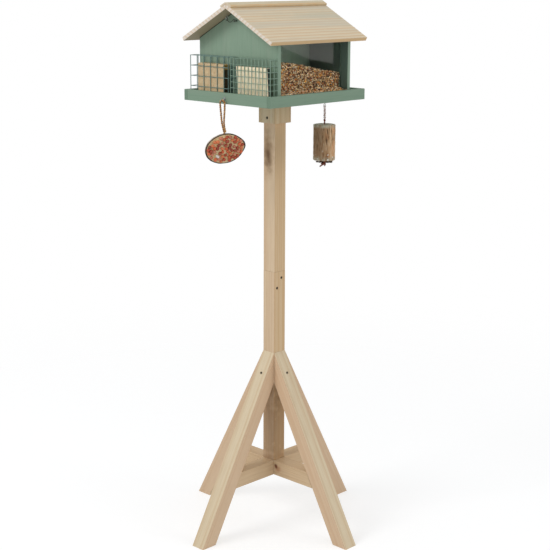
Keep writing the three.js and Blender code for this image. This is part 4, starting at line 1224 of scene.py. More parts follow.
@dataclass
class CoconutFeeder:
    """Half a coconut full of fat and peanuts, hung by a jute loop."""

    half_length: float = 52.6 * MM
    half_width: float = 38.4 * MM
    depth: float = 33 * MM
    wall: float = 2.6 * MM
    crown: float = 3 * MM
    seat: float = 0.1 * MM
    wear: float = 0.25 * MM
    fibre_lines: float = 0.35 * MM
    humps: float = 0.5 * MM
    face_humps: float = 0.7 * MM
    centre: Point = (-0.178, -0.0014, 1.0396)
    long_way: Point = (0.881, -0.441, 0.170)
    behind_way: Point = (0.417, 0.895, 0.156)
    jute_radius: float = 2.2 * MM
    jute_fuzz: float = 0.5 * MM
    jute_pitch: float = 10 * MM
    jute_step: float = 0.75 * MM
    jute_route: tuple[Point, ...] = (
        (-0.1803, -0.0011, 1.0759),
        (-0.1810, -0.0013, 1.0790),
        (-0.1812, -0.0002, 1.0836),
        (-0.1810, 0.0024, 1.0900),
        (-0.1810, 0.0062, 1.1015),
        (-0.1810, 0.0086, 1.1140),
        (-0.1810, 0.0108, 1.1320),
        (-0.1810, 0.0129, 1.1500),
        (-0.1810, 0.0122, 1.1546),
        (-0.1810, 0.0098, 1.1578),
        (-0.1810, 0.0048, 1.1596),
        (-0.1810, -0.0002, 1.1578),
        (-0.1810, -0.0026, 1.1546),
        (-0.1810, -0.0033, 1.1500),
        (-0.1810, -0.0030, 1.1360),
        (-0.1810, -0.0013, 1.1180),
        (-0.1810, -0.0005, 1.1040),
        (-0.1810, -0.0025, 1.0920),
        (-0.1810, -0.0048, 1.0850),
        (-0.1810, -0.0064, 1.0812),
    )
    nut_count: int = 64
    nut_tries: int = 9000
    nut_gap: float = 8.0 * MM
    nut_margins: tuple[float, float] = (7 * MM, 6 * MM)
    nut_flatness: float = 0.86
    skins: tuple[Colour, ...] = (
        tint(212, 100, 56),
        tint(178, 72, 42),
        tint(224, 124, 76),
        tint(156, 64, 40),
        tint(204, 128, 100),
    )
    white_nut: tuple[float, float] = (-0.023, -0.015)
    white_nut_size: tuple[float, float] = (6.4 * MM, 3.6 * MM)
    white_nut_turn: float = math.radians(52)
    white_nut_colour: Colour = tint(236, 230, 222)
    rings: int = 26
    fat_rows: int = 30
    sides: int = 88
    placement: Matrix = field(init=False)

    def __post_init__(self) -> None:
        """Works out the shell's own frame."""
        long_way = Vector(self.long_way).normalized()
        behind = Vector(self.behind_way)
        behind = (behind - long_way * behind.dot(long_way)).normalized()
        turned = Matrix((long_way, behind, long_way.cross(behind))).transposed().to_4x4()
        self.placement = Matrix.Translation(Vector(self.centre)) @ turned

    def rim(self, angle: float, inset: float) -> tuple[float, float]:
        """Works out the rim's oval, whose right end is a little pointed.

        Args:
            angle: Where on the oval.
            inset: How far the oval is drawn in.

        Returns:
            The place along the oval's length and across it.
        """
        stretch = self.half_length / self.half_width
        width = self.half_width - inset
        ahead = max(math.cos(angle), 0)
        point = 1 + 0.03 * ahead**8 - 0.22 * (ahead * math.sin(angle)) ** 2
        return width * stretch * point * math.cos(angle), width * math.sin(angle)

    def quarter(self) -> list[float]:
        """Returns the angles of the shell's rings, from the pole at the back to the rim."""
        return [math.pi / 2 * ring / self.rings for ring in range(self.rings + 1)]

    def build(self) -> None:
        """Builds the jute, the shell, the fat and the peanuts."""
        line = smooth_route(self.jute_route, self.jute_step)
        cord = TwistedCord(2, self.jute_radius + self.jute_fuzz, self.jute_pitch)
        finishes = [JUTE.material("jute"), SHADED_JUTE_STRAND.material("shaded_jute_strand")]
        tie = ("coconut", "jute", "jute_loop")
        cord.hang("jute_twist", tie, line, self.jute_route[0], 2 * self.jute_radius, finishes)
        self.build_shell()
        self.build_fat()
        self.build_peanuts()

    def build_shell(self) -> None:
        """Builds the husk's rough outside, its sawn rim and its inside."""
        quarter = self.quarter()
        rows = [(math.sin(angle), math.cos(angle), 0.0) for angle in quarter]
        rows += [(1.0, 0.0, self.wall * part / 3) for part in (1, 2, 3)]
        rows += [(math.sin(angle), math.cos(angle), self.wall) for angle in reversed(quarter[:-1])]
        points: list[Vector] = []
        for across, behind, inset in rows:
            for angle in around(self.sides):
                x, z = self.rim(angle, inset)
                own = Vector((x * across, behind * (self.depth - inset), z * across))
                if inset == 0:
                    lines = uneven(own.x * 60, own.y * 480, own.z * 480)
                    humps = noise.noise(own * 90)
                    own -= own.normalized() * (self.wear + self.fibre_lines * lines + self.humps * humps)
                elif own.y <= 0:
                    own.y += self.wear * noise.noise(own * 700)
                points.append(self.placement @ own)
        finishes = [HUSK.material("shell", self.placement), HUSK_EDGE.material("shell_edge", self.placement)]
        faces = skin(len(rows), self.sides, other_way=True)
        shell = mesh_piece("coconut_husk", points, faces, finishes)
        for number, face in enumerate(shell.data.polygons):
            face.material_index = int(number // self.sides >= self.rings)
        settle(shell, "coconut", ["coconut_shell"])

    def face_height(self, x: float, z: float) -> float:
        """Returns how far the fat stands proud of the rim at a place on the face."""
        away = min((x / self.half_length) ** 2 + (z / self.half_width) ** 2, 1)
        return self.crown * (1 - away) + self.face_humps * uneven(x * 110, z * 110, 4.0)

    def build_fat(self) -> None:
        """Builds the fat: its uneven face and the round back that fills the shell."""
        inset = self.wall + self.seat
        oval = [self.rim(angle, inset) for angle in around(self.sides)]
        points: list[Vector] = []
        for row in range(1, self.fat_rows + 1):
            share = row / self.fat_rows
            for x, z in oval:
                own = Vector((x * share, -self.face_height(x * share, z * share), z * share))
                points.append(self.placement @ own)
        for angle in reversed(self.quarter()[1:-1]):
            behind = (self.depth - inset) * math.cos(angle)
            for x, z in oval:
                points.append(self.placement @ Vector((x * math.sin(angle), behind, z * math.sin(angle))))
        faces = skin(len(points) // self.sides, self.sides)
        fat = mesh_piece("peanut_fat", points, faces, [FAT.material("fat")])
        settle(fat, "coconut", ["coconut_fill"])

    def nut_places(self, dice: random.Random) -> list[tuple[float, float]]:
        """Scatters the peanuts over the face, fewer at its left, with the white one first.

        Args:
            dice: The chance that scatters them.

        Returns:
            Each peanut's place along the face and across it.
        """
        long, wide = self.half_length - self.nut_margins[0], self.half_width - self.nut_margins[1]
        taken = [self.white_nut]
        for _ in range(self.nut_tries):
            if len(taken) == self.nut_count:
                break
            x, z = dice.uniform(-1, 1) * long, dice.uniform(-1, 1) * wide
            off_face = (x / long) ** 2 + (z / wide) ** 2 > 1
            if off_face or dice.random() > 0.4 + 0.6 * (x / self.half_length + 0.6):
                continue
            if all(math.hypot(x - a, z - b) > self.nut_gap for a, b in taken):
                taken.append((x, z))
        return taken

    def build_peanuts(self) -> None:
        """Presses the peanuts into the fat's face."""
        dice = random.Random(41)
        ball, ball_faces = ball_rings(7, 12)
        points: list[Vector] = []
        tints: list[Colour] = []
        faces: list[Face] = []
        for number, (x, z) in enumerate(self.nut_places(dice)):
            long, wide = dice.uniform(4.3, 5.6) * MM, dice.uniform(3.8, 4.5) * MM
            turn = dice.uniform(0, math.pi)
            if not number:
                (long, wide), turn = self.white_nut_size, self.white_nut_turn
            tilted = Matrix.Rotation(turn, 3, "Y") @ Matrix.Rotation(dice.gauss(0, 0.3), 3, "Z")
            sunk = -self.face_height(x, z) - wide * dice.uniform(0.0, 0.4)
            colour = np.array(self.white_nut_colour)
            if number:
                colour = np.array(dice.choice(self.skins)) * dice.uniform(0.8, 1.15)
            faces += [tuple(len(points) + corner for corner in face) for face in ball_faces]
            for corner in ball:
                bean = Vector((corner[2] * long, corner[0] * wide * self.nut_flatness, corner[1] * wide))
                points.append(self.placement @ (tilted @ bean + Vector((x, sunk, z))))
            tints += [(*colour[:3], 1.0)] * len(ball)
        nuts = mesh_piece("peanuts", points, faces, [PEANUT_SKIN.material("peanut")])
        tint_points(nuts, np.array(tints))
        settle(nuts, "coconut")


@dataclass
class LogFeeder:
    """A short barked log hung by a pale cord, with a twig tied under it."""

    x: float = 27 * MM
    y: float = -148.5 * MM
    top: float = 1.0965
    base: float = 1.0063
    radius: float = 28.2 * MM
    edge: float = 2.2 * MM
    bore: float = 4 * MM
    bark_depth: float = 2 * MM
    bark_rise: float = 1.5 * MM
    broad_furrows: float = 0.7 * MM
    fine_furrows: float = 0.5 * MM
    saw_marks: float = 0.35 * MM
    levels: int = 60
    sides: int = 96
    cord_base: float = 1.1104
    cord_radius: float = 2.2 * MM
    cord_fuzz: float = 1.1 * MM
    cord_pitch: float = 11 * MM
    cord_step: float = 0.5 * MM
    loop_height: float = 1.1399
    loop_radius: float = 2.7 * MM
    loop_gap: float = 1.2 * MM
    loop_climb: float = 0.25 * MM
    loop_steps: int = 11
    loop_thickness: float = 0.46
    loop_thins: float = 12
    loop_ahead: float = 0.02
    knot_height: float = 1.1065
    twine_step: float = 0.55 * MM
    twine_pitch: float = 5 * MM
    wrap_radius: float = 3.8 * MM
    wrap_half: float = 2.8 * MM
    twig_height: float = 1.0007
    twig_half: float = 21 * MM
    twig_turn: float = math.radians(-45.7)
    twig_sides: int = 16
    twig_bends: tuple[Point, ...] = ((-1, 0.0, 1.0), (-0.4, 0.4, 0.1), (0.35, -0.4, 0.2), (1, 0.0, 1.1))
    middle: Vector = field(init=False)
    across: Vector = field(init=False)
    ahead: Vector = field(init=False)

    def __post_init__(self) -> None:
        """Works out the twig's middle and the ways along and across it."""
        self.middle = self.at(self.twig_height)
        self.across = Vector((math.cos(self.twig_turn), math.sin(self.twig_turn), 0))
        self.ahead = Vector((-self.across.y, self.across.x, 0))

    def build(self) -> None:
        """Builds the cord, the log, its tie and its twig."""
        self.hang_cord()
        self.build_log()
        self.build_tie()
        self.build_twig()

    def at(self, height: float) -> Vector:
        """Returns the place on the log's axis at a height."""
        return Vector((self.x, self.y, height))

    def hang_cord(self) -> None:
        """Lays the pale cord from the knot up and through the eye."""
        rise = np.linspace(self.cord_base, self.loop_height - self.loop_radius - self.loop_gap, 8)
        route: list[Point] = [(self.x, self.y, float(z)) for z in rise]
        for step in range(1, self.loop_steps):
            angle = -math.pi / 2 + 2 * math.pi * step / self.loop_steps
            side = self.x + self.loop_radius * math.cos(angle)
            height = self.loop_height + self.loop_radius * math.sin(angle)
            route.append((side, self.y + self.loop_climb * step / self.loop_steps, height))
        line = smooth_route(route, self.cord_step)
        thins_at = float(rise[-1] - rise[0]) / line_length(line) - self.loop_ahead

        def thickness(along: float) -> float:
            """Returns how thick the cord is, thinner where it parts into its loop."""
            past = max(along - thins_at, 0.0)
            return max(self.loop_thickness, 1 - self.loop_thins * past)

        twist = TwistedCord(2, self.cord_radius + self.cord_fuzz, self.cord_pitch, share=0.54)
        finishes = [PALE_CORD.material("cord"), SHADED_CORD_STRAND.material("shaded_cord_strand")]
        tie = ("log", "pale_cord", "log_cord")
        twist.hang("pale_twist", tie, line, route[-1], 2 * self.cord_radius, finishes, thickness)

    def bark_reach(self, angle: float, height: float) -> float:
        """Works out the bark's humps and furrows.

        Args:
            angle: Where round the log.
            height: How high up.

        Returns:
            The bark's distance from the log's axis.
        """
        hump = 1 + 0.02 * math.sin(3 * angle) + 0.011 * math.sin(7 * angle)
        broad = uneven(math.cos(angle) * 7, math.sin(angle) * 7, height * 28)
        fine = uneven(math.cos(angle) * 17, math.sin(angle) * 17, height * 90)
        furrows = self.broad_furrows * broad + self.fine_furrows * fine
        return (self.radius - self.bark_depth) * hump + self.bark_rise + furrows

    def log_rows(self) -> list[tuple[float, float, bool]]:
        """Lists the log's rings from the bore's upper end round the bark to its lower end.

        Returns:
            Each ring's reach, its height, and whether the reach is a share of the bark's.
        """
        quarter = [(math.sin(angle), math.cos(angle)) for angle in around(16)[:5]]
        edge, share = self.edge, self.edge / self.radius
        trunk = self.top - self.base - 2 * edge
        rows = [(self.bore, self.top, False), (0.45, self.top, True), (0.8, self.top, True)]
        rows += [(1 - share * (1 - s), self.top - edge * (1 - c), True) for s, c in quarter[:-1]]
        heights = [self.top - edge - trunk * level / self.levels for level in range(self.levels + 1)]
        rows += [(1.0, height, True) for height in heights]
        rows += [(1 - share * (1 - c), self.base + edge * (1 - s), True) for s, c in quarter[1:]]
        rows += [(0.8, self.base, True), (0.45, self.base, True), (self.bore, self.base, False)]
        return rows

    def build_log(self) -> None:
        """Builds the bark, the sawn ends and the bore through the log."""
        rows = self.log_rows()
        points: list[Vector] = []
        for reach, height, on_bark in rows:
            for angle in around(self.sides):
                distance = reach * self.bark_reach(angle, height) if on_bark else reach
                x, y = self.x + distance * math.cos(angle), self.y + distance * math.sin(angle)
                if height in (self.top, self.base):
                    dent = abs(self.saw_marks * uneven(x * 300, y * 300, height * 10))
                    points.append(Vector((x, y, height + (dent if height == self.base else -dent))))
                else:
                    points.append(Vector((x, y, height)))
        faces: list[Face] = []
        for row in range(len(rows)):
            here, after = row * self.sides, (row + 1) % len(rows) * self.sides
            for side in range(self.sides):
                follow = (side + 1) % self.sides
                faces.append((here + side, after + side, after + follow, here + follow))
        axis = tuple(self.at(self.base))
        finishes = [BARK.material("log", axis, self.top, self.base), SAWN_END.material("log", axis)]
        log = mesh_piece("bark_log", points, faces, finishes)
        for number, face in enumerate(log.data.polygons):
            face.material_index = int(not 3 <= number // self.sides < len(rows) - 4)
        settle(log, "log", ["log_body"])

    def tail(self, *steps: tuple[float, float]) -> list[Vector]:
        """Lays a twine's tail from the knot under the twig.

        Args:
            *steps: Places after the knot, in millimetres along the twig and up from the knot.

        Returns:
            The tail's points.
        """
        under = self.middle - UP * 5.0 * MM - self.across * 1.5 * MM - self.ahead * 1.5 * MM
        return [under] + [under + self.across * along * MM + UP * up * MM for along, up in steps]

    def build_tie(self) -> None:
        """Builds the brown twine: its upper knot, the run through the log and the knot round the twig."""
        upper = self.at(self.knot_height)
        run = [upper, upper - Vector((0.4, 0, 9)) * MM, self.at(self.top - 30 * MM)]
        run += [self.at(self.base + 20 * MM), self.middle + UP * 3 * MM]
        wrap: list[Vector] = []
        for step in range(34):
            angle = 2 * math.pi * step / 11
            out = swing(UP, self.ahead, angle) * self.wrap_radius
            wrap.append(self.middle + self.across * self.wrap_half * (2 * step / 33 - 1) + out)
        left_tail = self.tail((-4, -2.2), (-9.6, -6.6))
        right_tail = self.tail((2.2, -1.8), (3.6, -5.0))
        runs = [
            (self.knot_route(upper, 1.7 * MM, 2.2 * MM), 1.15),
            (self.knot_route(upper - UP * 6 * MM, 1.1 * MM, 1.6 * MM), 0.95),
            (run, 1.35),
            (wrap, 1.15),
            (self.knot_route(left_tail[0] + UP * 0.6 * MM, 4.2 * MM, 1.7 * MM), 1.7),
            (left_tail, 2.2),
            (right_tail, 1.7),
        ]
        points: list[Vector] = []
        faces: list[Face] = []
        for route, radius in runs:
            twine = TwistedCord(2, radius * MM, self.twine_pitch, 7)
            more, their = twine.sweep(smooth_route(route, self.twine_step))
            faces += [tuple(len(points) + number for number in face) for face in their]
            points += more
        tie = mesh_piece("twine_tie", points, faces, [BROWN_TWINE.material("twine")])
        settle(tie, "log", ["log_tie"])

    @staticmethod
    def knot_route(centre: Vector, wide: float, high: float) -> list[Vector]:
        """Draws an overhand knot.

        Args:
            centre: The knot's middle.
            wide: How far its turns reach sideways.
            high: How far they reach up and down.

        Returns:
            The line that the twine follows.
        """
        route: list[Vector] = []
        for step in range(40):
            angle = 2 * math.pi * step / 39
            ring = wide * (1 + 0.32 * math.cos(3 * angle))
            side, ahead = ring * math.cos(2 * angle), ring * math.sin(2 * angle)
            route.append(centre + Vector((side, ahead, high * math.sin(3 * angle))))
        return route

    def build_twig(self) -> None:
        """Builds the knobbly twig under the log."""
        route = [
            self.middle + self.across * along * self.twig_half + (self.ahead * out + UP * up) * MM
            for along, out, up in self.twig_bends
        ]
        line = smooth_route(route, 0.9 * MM)
        points: list[Vector] = []
        for ring, middle in enumerate(line):
            share = ring / (len(line) - 1)
            blunt = min(1.0, 0.82 + 0.18 * min(share, 1 - share) * 14)
            buds = 0.5 * math.exp(-(((share - 0.27) / 0.03) ** 2))
            buds += 0.7 * math.exp(-(((share - 0.93) / 0.05) ** 2))
            for angle in around(self.twig_sides):
                rough = uneven(share * 11, math.cos(angle) * 1.6, math.sin(angle) * 1.6)
                reach = (1.7 + 1.0 * share + 0.35 * rough + buds) * MM * blunt
                points.append(middle + swing(self.ahead, UP, angle) * reach)
        finish = TWIG_BARK.material("twig", Grain.TWIG, tuple(self.middle))
        twig = mesh_piece("bare_twig", points, skin(len(line), self.twig_sides), [finish])
        settle(twig, "log", ["log_twig"])


@dataclass(frozen=True)
class SeedKind:
    """One seed of the mix: its length, width and thickness in millimetres, its share and colours."""

    size: Point
    share: float
    tints: tuple[Colour, ...]


SEED_MIX = (
    SeedKind((6.6, 3.4, 3.0), 0.34, (tint(240, 204, 152), tint(214, 168, 114), tint(248, 222, 178))),
    SeedKind((3.5, 3.1, 2.9), 0.15, (tint(248, 218, 158), tint(240, 192, 128), tint(250, 240, 206))),
    SeedKind((4.9, 4.3, 3.4), 0.12, (tint(214, 128, 74), tint(228, 150, 90), tint(170, 92, 54))),
    SeedKind((5.0, 4.4, 3.5), 0.14, (tint(255, 240, 210), tint(250, 228, 190))),
    SeedKind((6.4, 4.6, 3.2), 0.07, (tint(246, 184, 86), tint(232, 156, 70))),
    SeedKind((7.2, 3.6, 2.8), 0.16, (tint(48, 36, 30), tint(74, 54, 40), tint(104, 72, 50))),
)


@dataclass
class SeedFill:
    """Bird seed in one side of the hopper, with what has run out in front of its pane."""

    name: str
    side: int
    chance: int
    half: float = 121.2 * MM
    floor: float = 1.1598
    slot_height: float = 17 * MM
    pane_inside: float = 112.1 * MM
    pane_outside: float = 116.0 * MM
    rim: float = 142.5 * MM
    divider: float = 6.5 * MM
    depth: float = 91 * MM
    heap: tuple[tuple[float, float], ...] = (
        (-1, 0.955),
        (-0.76, 0.98),
        (-0.49, 1),
        (-0.2, 0.935),
        (0.11, 0.86),
        (0.41, 0.77),
        (0.72, 0.705),
        (1, 0.655),
    )
    spill_at_pane: float = 22 * MM
    spill_at_rim: float = 15 * MM
    gap: float = 4.1 * MM
    heap_spread: float = 1.25
    spill_spread: float = 0.8
    wall_foot: float = 14 * MM
    first_row: float = 16 * MM
    heap_waves: float = 1.6 * MM
    spill_waves: float = 1.2 * MM
    core_sections: int = 24
    core_below: float = 2.4 * MM
    core_inside: float = 2.2 * MM
    # Painted shade for the gaps between the seeds.
    gap_shade_colour: Colour = tint(132, 94, 62)

    def top(self, x: float) -> float:
        """Returns the heap's height in the hopper at a place across it."""
        across, up = zip(*self.heap, strict=True)
        return self.floor + self.depth * float(np.interp(x / self.half, across, up))

    def spill_top(self, y: float) -> float:
        """Returns the spill's height at a distance from the ridge's line."""
        share = (y - self.pane_outside) / (self.rim - self.pane_outside)
        return self.floor + self.spill_at_pane + (self.spill_at_rim - self.spill_at_pane) * share

    def places(self, dice: random.Random) -> list[Point]:
        """Picks where the seeds lie: on the pane's inside, on the heap and on the spill.

        Args:
            dice: The chance that scatters them.

        Returns:
            Each seed's middle, with y as a distance from the ridge's line.
        """
        found: list[Point] = []
        columns = int(2 * self.half / self.gap)
        deep, near = self.heap_spread * self.gap, self.spill_spread * self.gap
        for column in range(columns):
            x0 = -self.half + (column + 0.5) * 2 * self.half / columns
            for row in range(int((self.top(x0) - self.floor - self.wall_foot) / self.gap)):
                x = x0 + dice.uniform(-0.6, 0.6) * self.gap
                z = self.floor + self.first_row + (row + dice.uniform(-0.5, 0.5)) * self.gap
                y = self.pane_inside - dice.uniform(0.9, 2.4) * MM
                found.append((x, y, min(z, self.top(x) - 1 * MM)))
            for row in range(int((self.pane_inside - self.divider) / deep)):
                x = x0 + dice.uniform(-0.6, 0.6) * self.gap
                y = self.divider + (row + dice.random()) * deep
                wave = self.heap_waves * uneven(x * 60, y * 60, self.chance)
                found.append((x, y, self.top(x) + wave - dice.uniform(0.4, 2.2) * MM))
            for row in range(int((self.rim - self.pane_outside) / near) + 1):
                x = x0 + dice.uniform(-0.6, 0.6) * self.gap
                y = self.pane_outside + (row + dice.random()) * near
                wave = self.spill_waves * uneven(x * 70, y * 70, 9.0 + self.chance)
                found.append((x, min(y, self.rim), self.spill_top(y) + wave - dice.uniform(0.2, 2.0) * MM))
        return found

    def seeds(self) -> tuple[np.ndarray, np.ndarray, list[Face]]:
        """Builds the single seeds, kept between the pane, the divider and the rim.

        Returns:
            Their corners, with y as a distance from the ridge's line, their tints and their faces.
        """
        dice = random.Random(self.chance)
        ball, ball_faces = ball_rings(3, 6)
        places = self.places(dice)
        kinds = dice.choices(SEED_MIX, [kind.share for kind in SEED_MIX], k=len(places))
        count = len(ball)
        points = np.zeros((len(places) * count, 3))
        tints = np.ones((len(places) * count, 4))
        faces: list[Face] = []
        taper = 1 - 0.22 * ball[:, 2:3]
        for number, (place, kind) in enumerate(zip(places, kinds, strict=True)):
            long, wide, thick = np.array(kind.size) / 2 * MM * dice.uniform(0.85, 1.12)
            spin = Matrix.Rotation(dice.uniform(0, math.tau), 3, "Z")
            spin = Matrix.Rotation(dice.uniform(0, math.tau), 3, dice.choice("XY")) @ spin
            across = [ball[:, 0:1] * wide * taper, ball[:, 1:2] * thick * taper]
            shaped = np.hstack([ball[:, 2:3] * long, *across])
            span = slice(number * count, (number + 1) * count)
            points[span] = shaped @ np.array(spin).T + np.array(place)
            tints[span, :3] = np.array(dice.choice(kind.tints)[:3]) * dice.uniform(0.68, 1.44)
            faces += [tuple(number * count + corner for corner in face) for face in ball_faces]
        inside = points[:, 1] < (self.pane_inside + self.pane_outside) / 2
        in_hopper = np.clip(points[:, 1], self.divider, self.pane_inside)
        points[:, 0] = np.clip(points[:, 0], -self.half, self.half)
        points[:, 1] = np.where(inside, in_hopper, np.clip(points[:, 1], self.pane_outside, self.rim))
        return points, tints, faces

    def core(self) -> np.ndarray:
        """Builds the heap under the seeds, whose dark colour is painted shade in the gaps between them.

        Returns:
            Its corners by cross-section, with y as a distance from the ridge's line.
        """
        sections = []
        low, slot = self.floor + 0.4 * MM, self.floor + self.slot_height
        hopper, rim = self.pane_inside - self.core_inside, self.rim - 0.2 * MM
        spill = self.floor + self.spill_at_rim - 2.2 * MM
        for number in range(self.core_sections + 1):
            x = -self.half + 2 * self.half * number / self.core_sections
            top = self.top(x) - self.core_below
            outline = [(self.divider, low), (self.divider, top), (hopper, top), (hopper, slot)]
            outline += [(self.pane_outside, slot), (rim, spill), (rim, low)]
            sections.append([(x, y, z) for y, z in outline])
        return np.array(sections)

    def build(self) -> None:
        """Builds the fill as one piece: a heap coloured with painted shade and the seeds that cover it."""
        points, tints, faces = self.seeds()
        core = self.core()
        faces += skin(core.shape[0], core.shape[1], len(points))
        core = core.reshape(-1, 3)
        points = np.vstack([points, core])
        tints = np.vstack([tints, np.tile(np.array(self.gap_shade_colour), (len(core), 1))])
        points[:, 1] *= self.side
        if self.side < 0:
            faces = [tuple(reversed(face)) for face in faces]
        fill = mesh_piece(f"seed_mix_{self.name}", points, faces, [SEED_COAT.material(f"seed_{self.name}")])
        tint_points(fill, tints)
        settle(fill, "table", [f"seed_{self.name}"])


@dataclass
class SuetCake:
    """A pressed cake of suet that stands in its cage."""

    name: str
    slot: str
    face: SuetFinish
    # ends holds the painted shade for the end faces, and top the colour of their upper part.
    ends: SuetFinish
    top: SuetFinish
    lean: float
    rough: float = 0.5 * MM
    rounding: float = 2.2 * MM
    top_share: float = 0.17
    steps: tuple[int, int, int] = (8, 34, 30)

    def surface(self, place: tuple[int, int, int], size: Vector) -> Vector:
        """Works out a corner of the cake's rounded, dented and leaning surface.

        Args:
            place: The corner's place in the cake's grid.
            size: The cake's thickness, length and height.

        Returns:
            The corner, from the cake's middle.
        """
        share = Vector([at / steps for at, steps in zip(place, self.steps, strict=True)])
        flat = Vector([(share[a] - 0.5) * size[a] for a in range(3)])
        reach = [size[a] / 2 - self.rounding for a in range(3)]
        core = Vector([max(-reach[a], min(reach[a], flat[a])) for a in range(3)])
        out = flat - core
        if out.length > self.rounding:
            out *= self.rounding / out.length
        own = core + out
        dent = 0.6 + noise.noise(own * 120) + 0.5 * noise.noise(own * 420)
        own -= (flat - core * 0.9).normalized() * max(0.0, dent) * self.rough * 0.5
        return own + Vector((self.lean * (0.5 - share[2]), 0, 0))

    def build(self) -> None:
        """Builds the cake in the space that its solid holds."""
        node = f"suet_block_{self.name}"
        low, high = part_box(node)
        size = Vector((high.x - low.x - self.lean, high.y - low.y, high.z - low.z))
        numbers: dict[tuple[int, int, int], int] = {}
        faces: list[Face] = []
        for axis in range(3):
            first, second = (axis + 1) % 3, (axis + 2) % 3
            for end in (0, self.steps[axis]):
                for a in range(self.steps[first]):
                    for b in range(self.steps[second]):
                        ring = []
                        for da, db in ((0, 0), (1, 0), (1, 1), (0, 1)):
                            place = [0, 0, 0]
                            place[axis], place[first], place[second] = end, a + da, b + db
                            ring.append(numbers.setdefault(tuple(place), len(numbers)))
                        faces.append(tuple(ring if end else reversed(ring)))
        points = [(low + high) / 2 + self.surface(place, size) for place in numbers]
        finishes = [self.face.material(self.name), self.ends.material(f"{self.name}_end")]
        finishes.append(self.top.material(f"{self.name}_top"))
        cake = mesh_piece(f"suet_{self.name}", points, faces, finishes)
        # End faces take the painted shade, and their upper part takes the top finish.
        for face in cake.data.polygons:
            end_on = abs(face.normal.y) > 0.7
            high_up = face.center.z > high.z - self.top_share * size.z
            face.material_index = 2 if end_on and high_up else int(end_on)
        settle(cake, f"{self.name}_suet", [node])


@dataclass
class Screws:
    """Countersunk wood screws with a cross recess in each head."""

    head: float = 3.7 * MM
    bevel: float = 0.15 * MM
    shank: float = 2.0 * MM
    head_height: float = 2.6 * MM
    recess_reach: float = 0.62
    recess_depth: float = 1.5 * MM
    thread_pitch: float = 1.1 * MM
    plain: float = 4 * MM
    sides: int = 32
    spots: tuple[tuple[str, Point, float], ...] = (
        ("leg_screw_right", (1, 0, 0), 0.3),
        ("leg_screw_back", (0, 1, 0), 0.9),
        ("leg_screw_left", (-1, 0, 0), 0.5),
        ("leg_screw_front", (0, -1, 0), 1.1),
        ("post_screw_upper", (0, -1, 0), 0.2),
        ("post_screw_lower", (0, -1, 0), 0.7),
        ("collar_screw_left", (-1, 0, 0), 1.3),
        ("collar_screw_right", (1, 0, 0), 0.1),
        ("post_foot_screw", (0, 0, -1), 0.4),
        ("tray_screw_front", (0, 0, 1), 0.8),
        ("tray_screw_back", (0, 0, 1), 1.0),
    )

    def recess(self, angle: float) -> float:
        """Works out the cross-shaped recess in a head.

        Args:
            angle: Where round the head.

        Returns:
            How far the recess reaches there.
        """
        reach = self.recess_reach * self.head
        arm = 0.28 * reach
        turned = (angle + math.pi / 4) % (math.pi / 2) - math.pi / 4
        sideways = arm / max(abs(math.sin(turned)), LEAST)
        return min(reach / max(math.cos(turned), LEAST), max(sideways, arm * 1.25))

    def profile(self, length: float) -> list[tuple[float, float, bool]]:
        """Lists a screw's rings from its recess to its tip.

        Args:
            length: From the head's face to the tip.

        Returns:
            Each ring's radius, its depth below the face, and whether the radius is a share of the recess's.
        """
        rows = [(0.45, self.recess_depth, True), (1.0, 0.0, True), (self.head * 0.97, 0.0, False)]
        rows += [(self.head, self.bevel, False), (self.shank, self.head_height, False)]
        turns = max(2, int((length - self.head_height - self.plain) / self.thread_pitch))
        for turn in range(2 * turns):
            depth = self.head_height + 1 * MM + turn * self.thread_pitch / 2
            rows.append((self.shank * (0.74 if turn % 2 else 0.98), depth, False))
        return [*rows, (0.12 * self.shank, length, False)]

    def build(self) -> None:
        """Builds every screw where its solid is."""
        finish = DARK_SCREW.material("screw")
        for node, facing, spin in self.spots:
            low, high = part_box(node)
            out = Vector(facing)
            axis = max(range(3), key=lambda a: abs(out[a]))
            top = (low + high) / 2
            top[axis] = high[axis] if out[axis] > 0 else low[axis]
            first = out.orthogonal().normalized()
            second = out.cross(first)
            rows = self.profile(high[axis] - low[axis])
            points: list[Vector] = []
            for radius, depth, crossed in rows:
                for angle in around(self.sides):
                    reach = radius * self.recess(angle) if crossed else radius
                    points.append(top - out * depth + swing(first, second, angle + spin) * reach)
            faces = skin(len(rows), self.sides, other_way=True)
            screw = mesh_piece(node.replace("screw", "woodscrew"), points, faces, [finish], smooth=False)
            settle(screw, "table", [node])


Board = tuple[str, TimberFinish, Grain, Point, list[Mark]]


def dress_boards(nodes: dict[str, Piece], boards: Sequence[Board], easing: float) -> None:
    """Gives boards their grain and marks, and eases their edges.

    Args:
        nodes: The part's nodes by name.
        boards: Each board's name, finish, grain, a point on its tree's middle line, and its marks.
        easing: How much its edges are rounded.
    """
    for name, finish, grain, pith, marks in boards:
        dress(nodes[name], finish.material(name, grain, pith, marks))
        ease_edges(nodes[name], easing)


def both_ways(way: Point, colour: Colour, cover: float) -> list[Mark]:
    """Returns a tint on the faces that look one way and on those that look the other way."""
    return [FaceTint(tuple(turn * part for part in way), colour, cover) for turn in (-1, 1)]


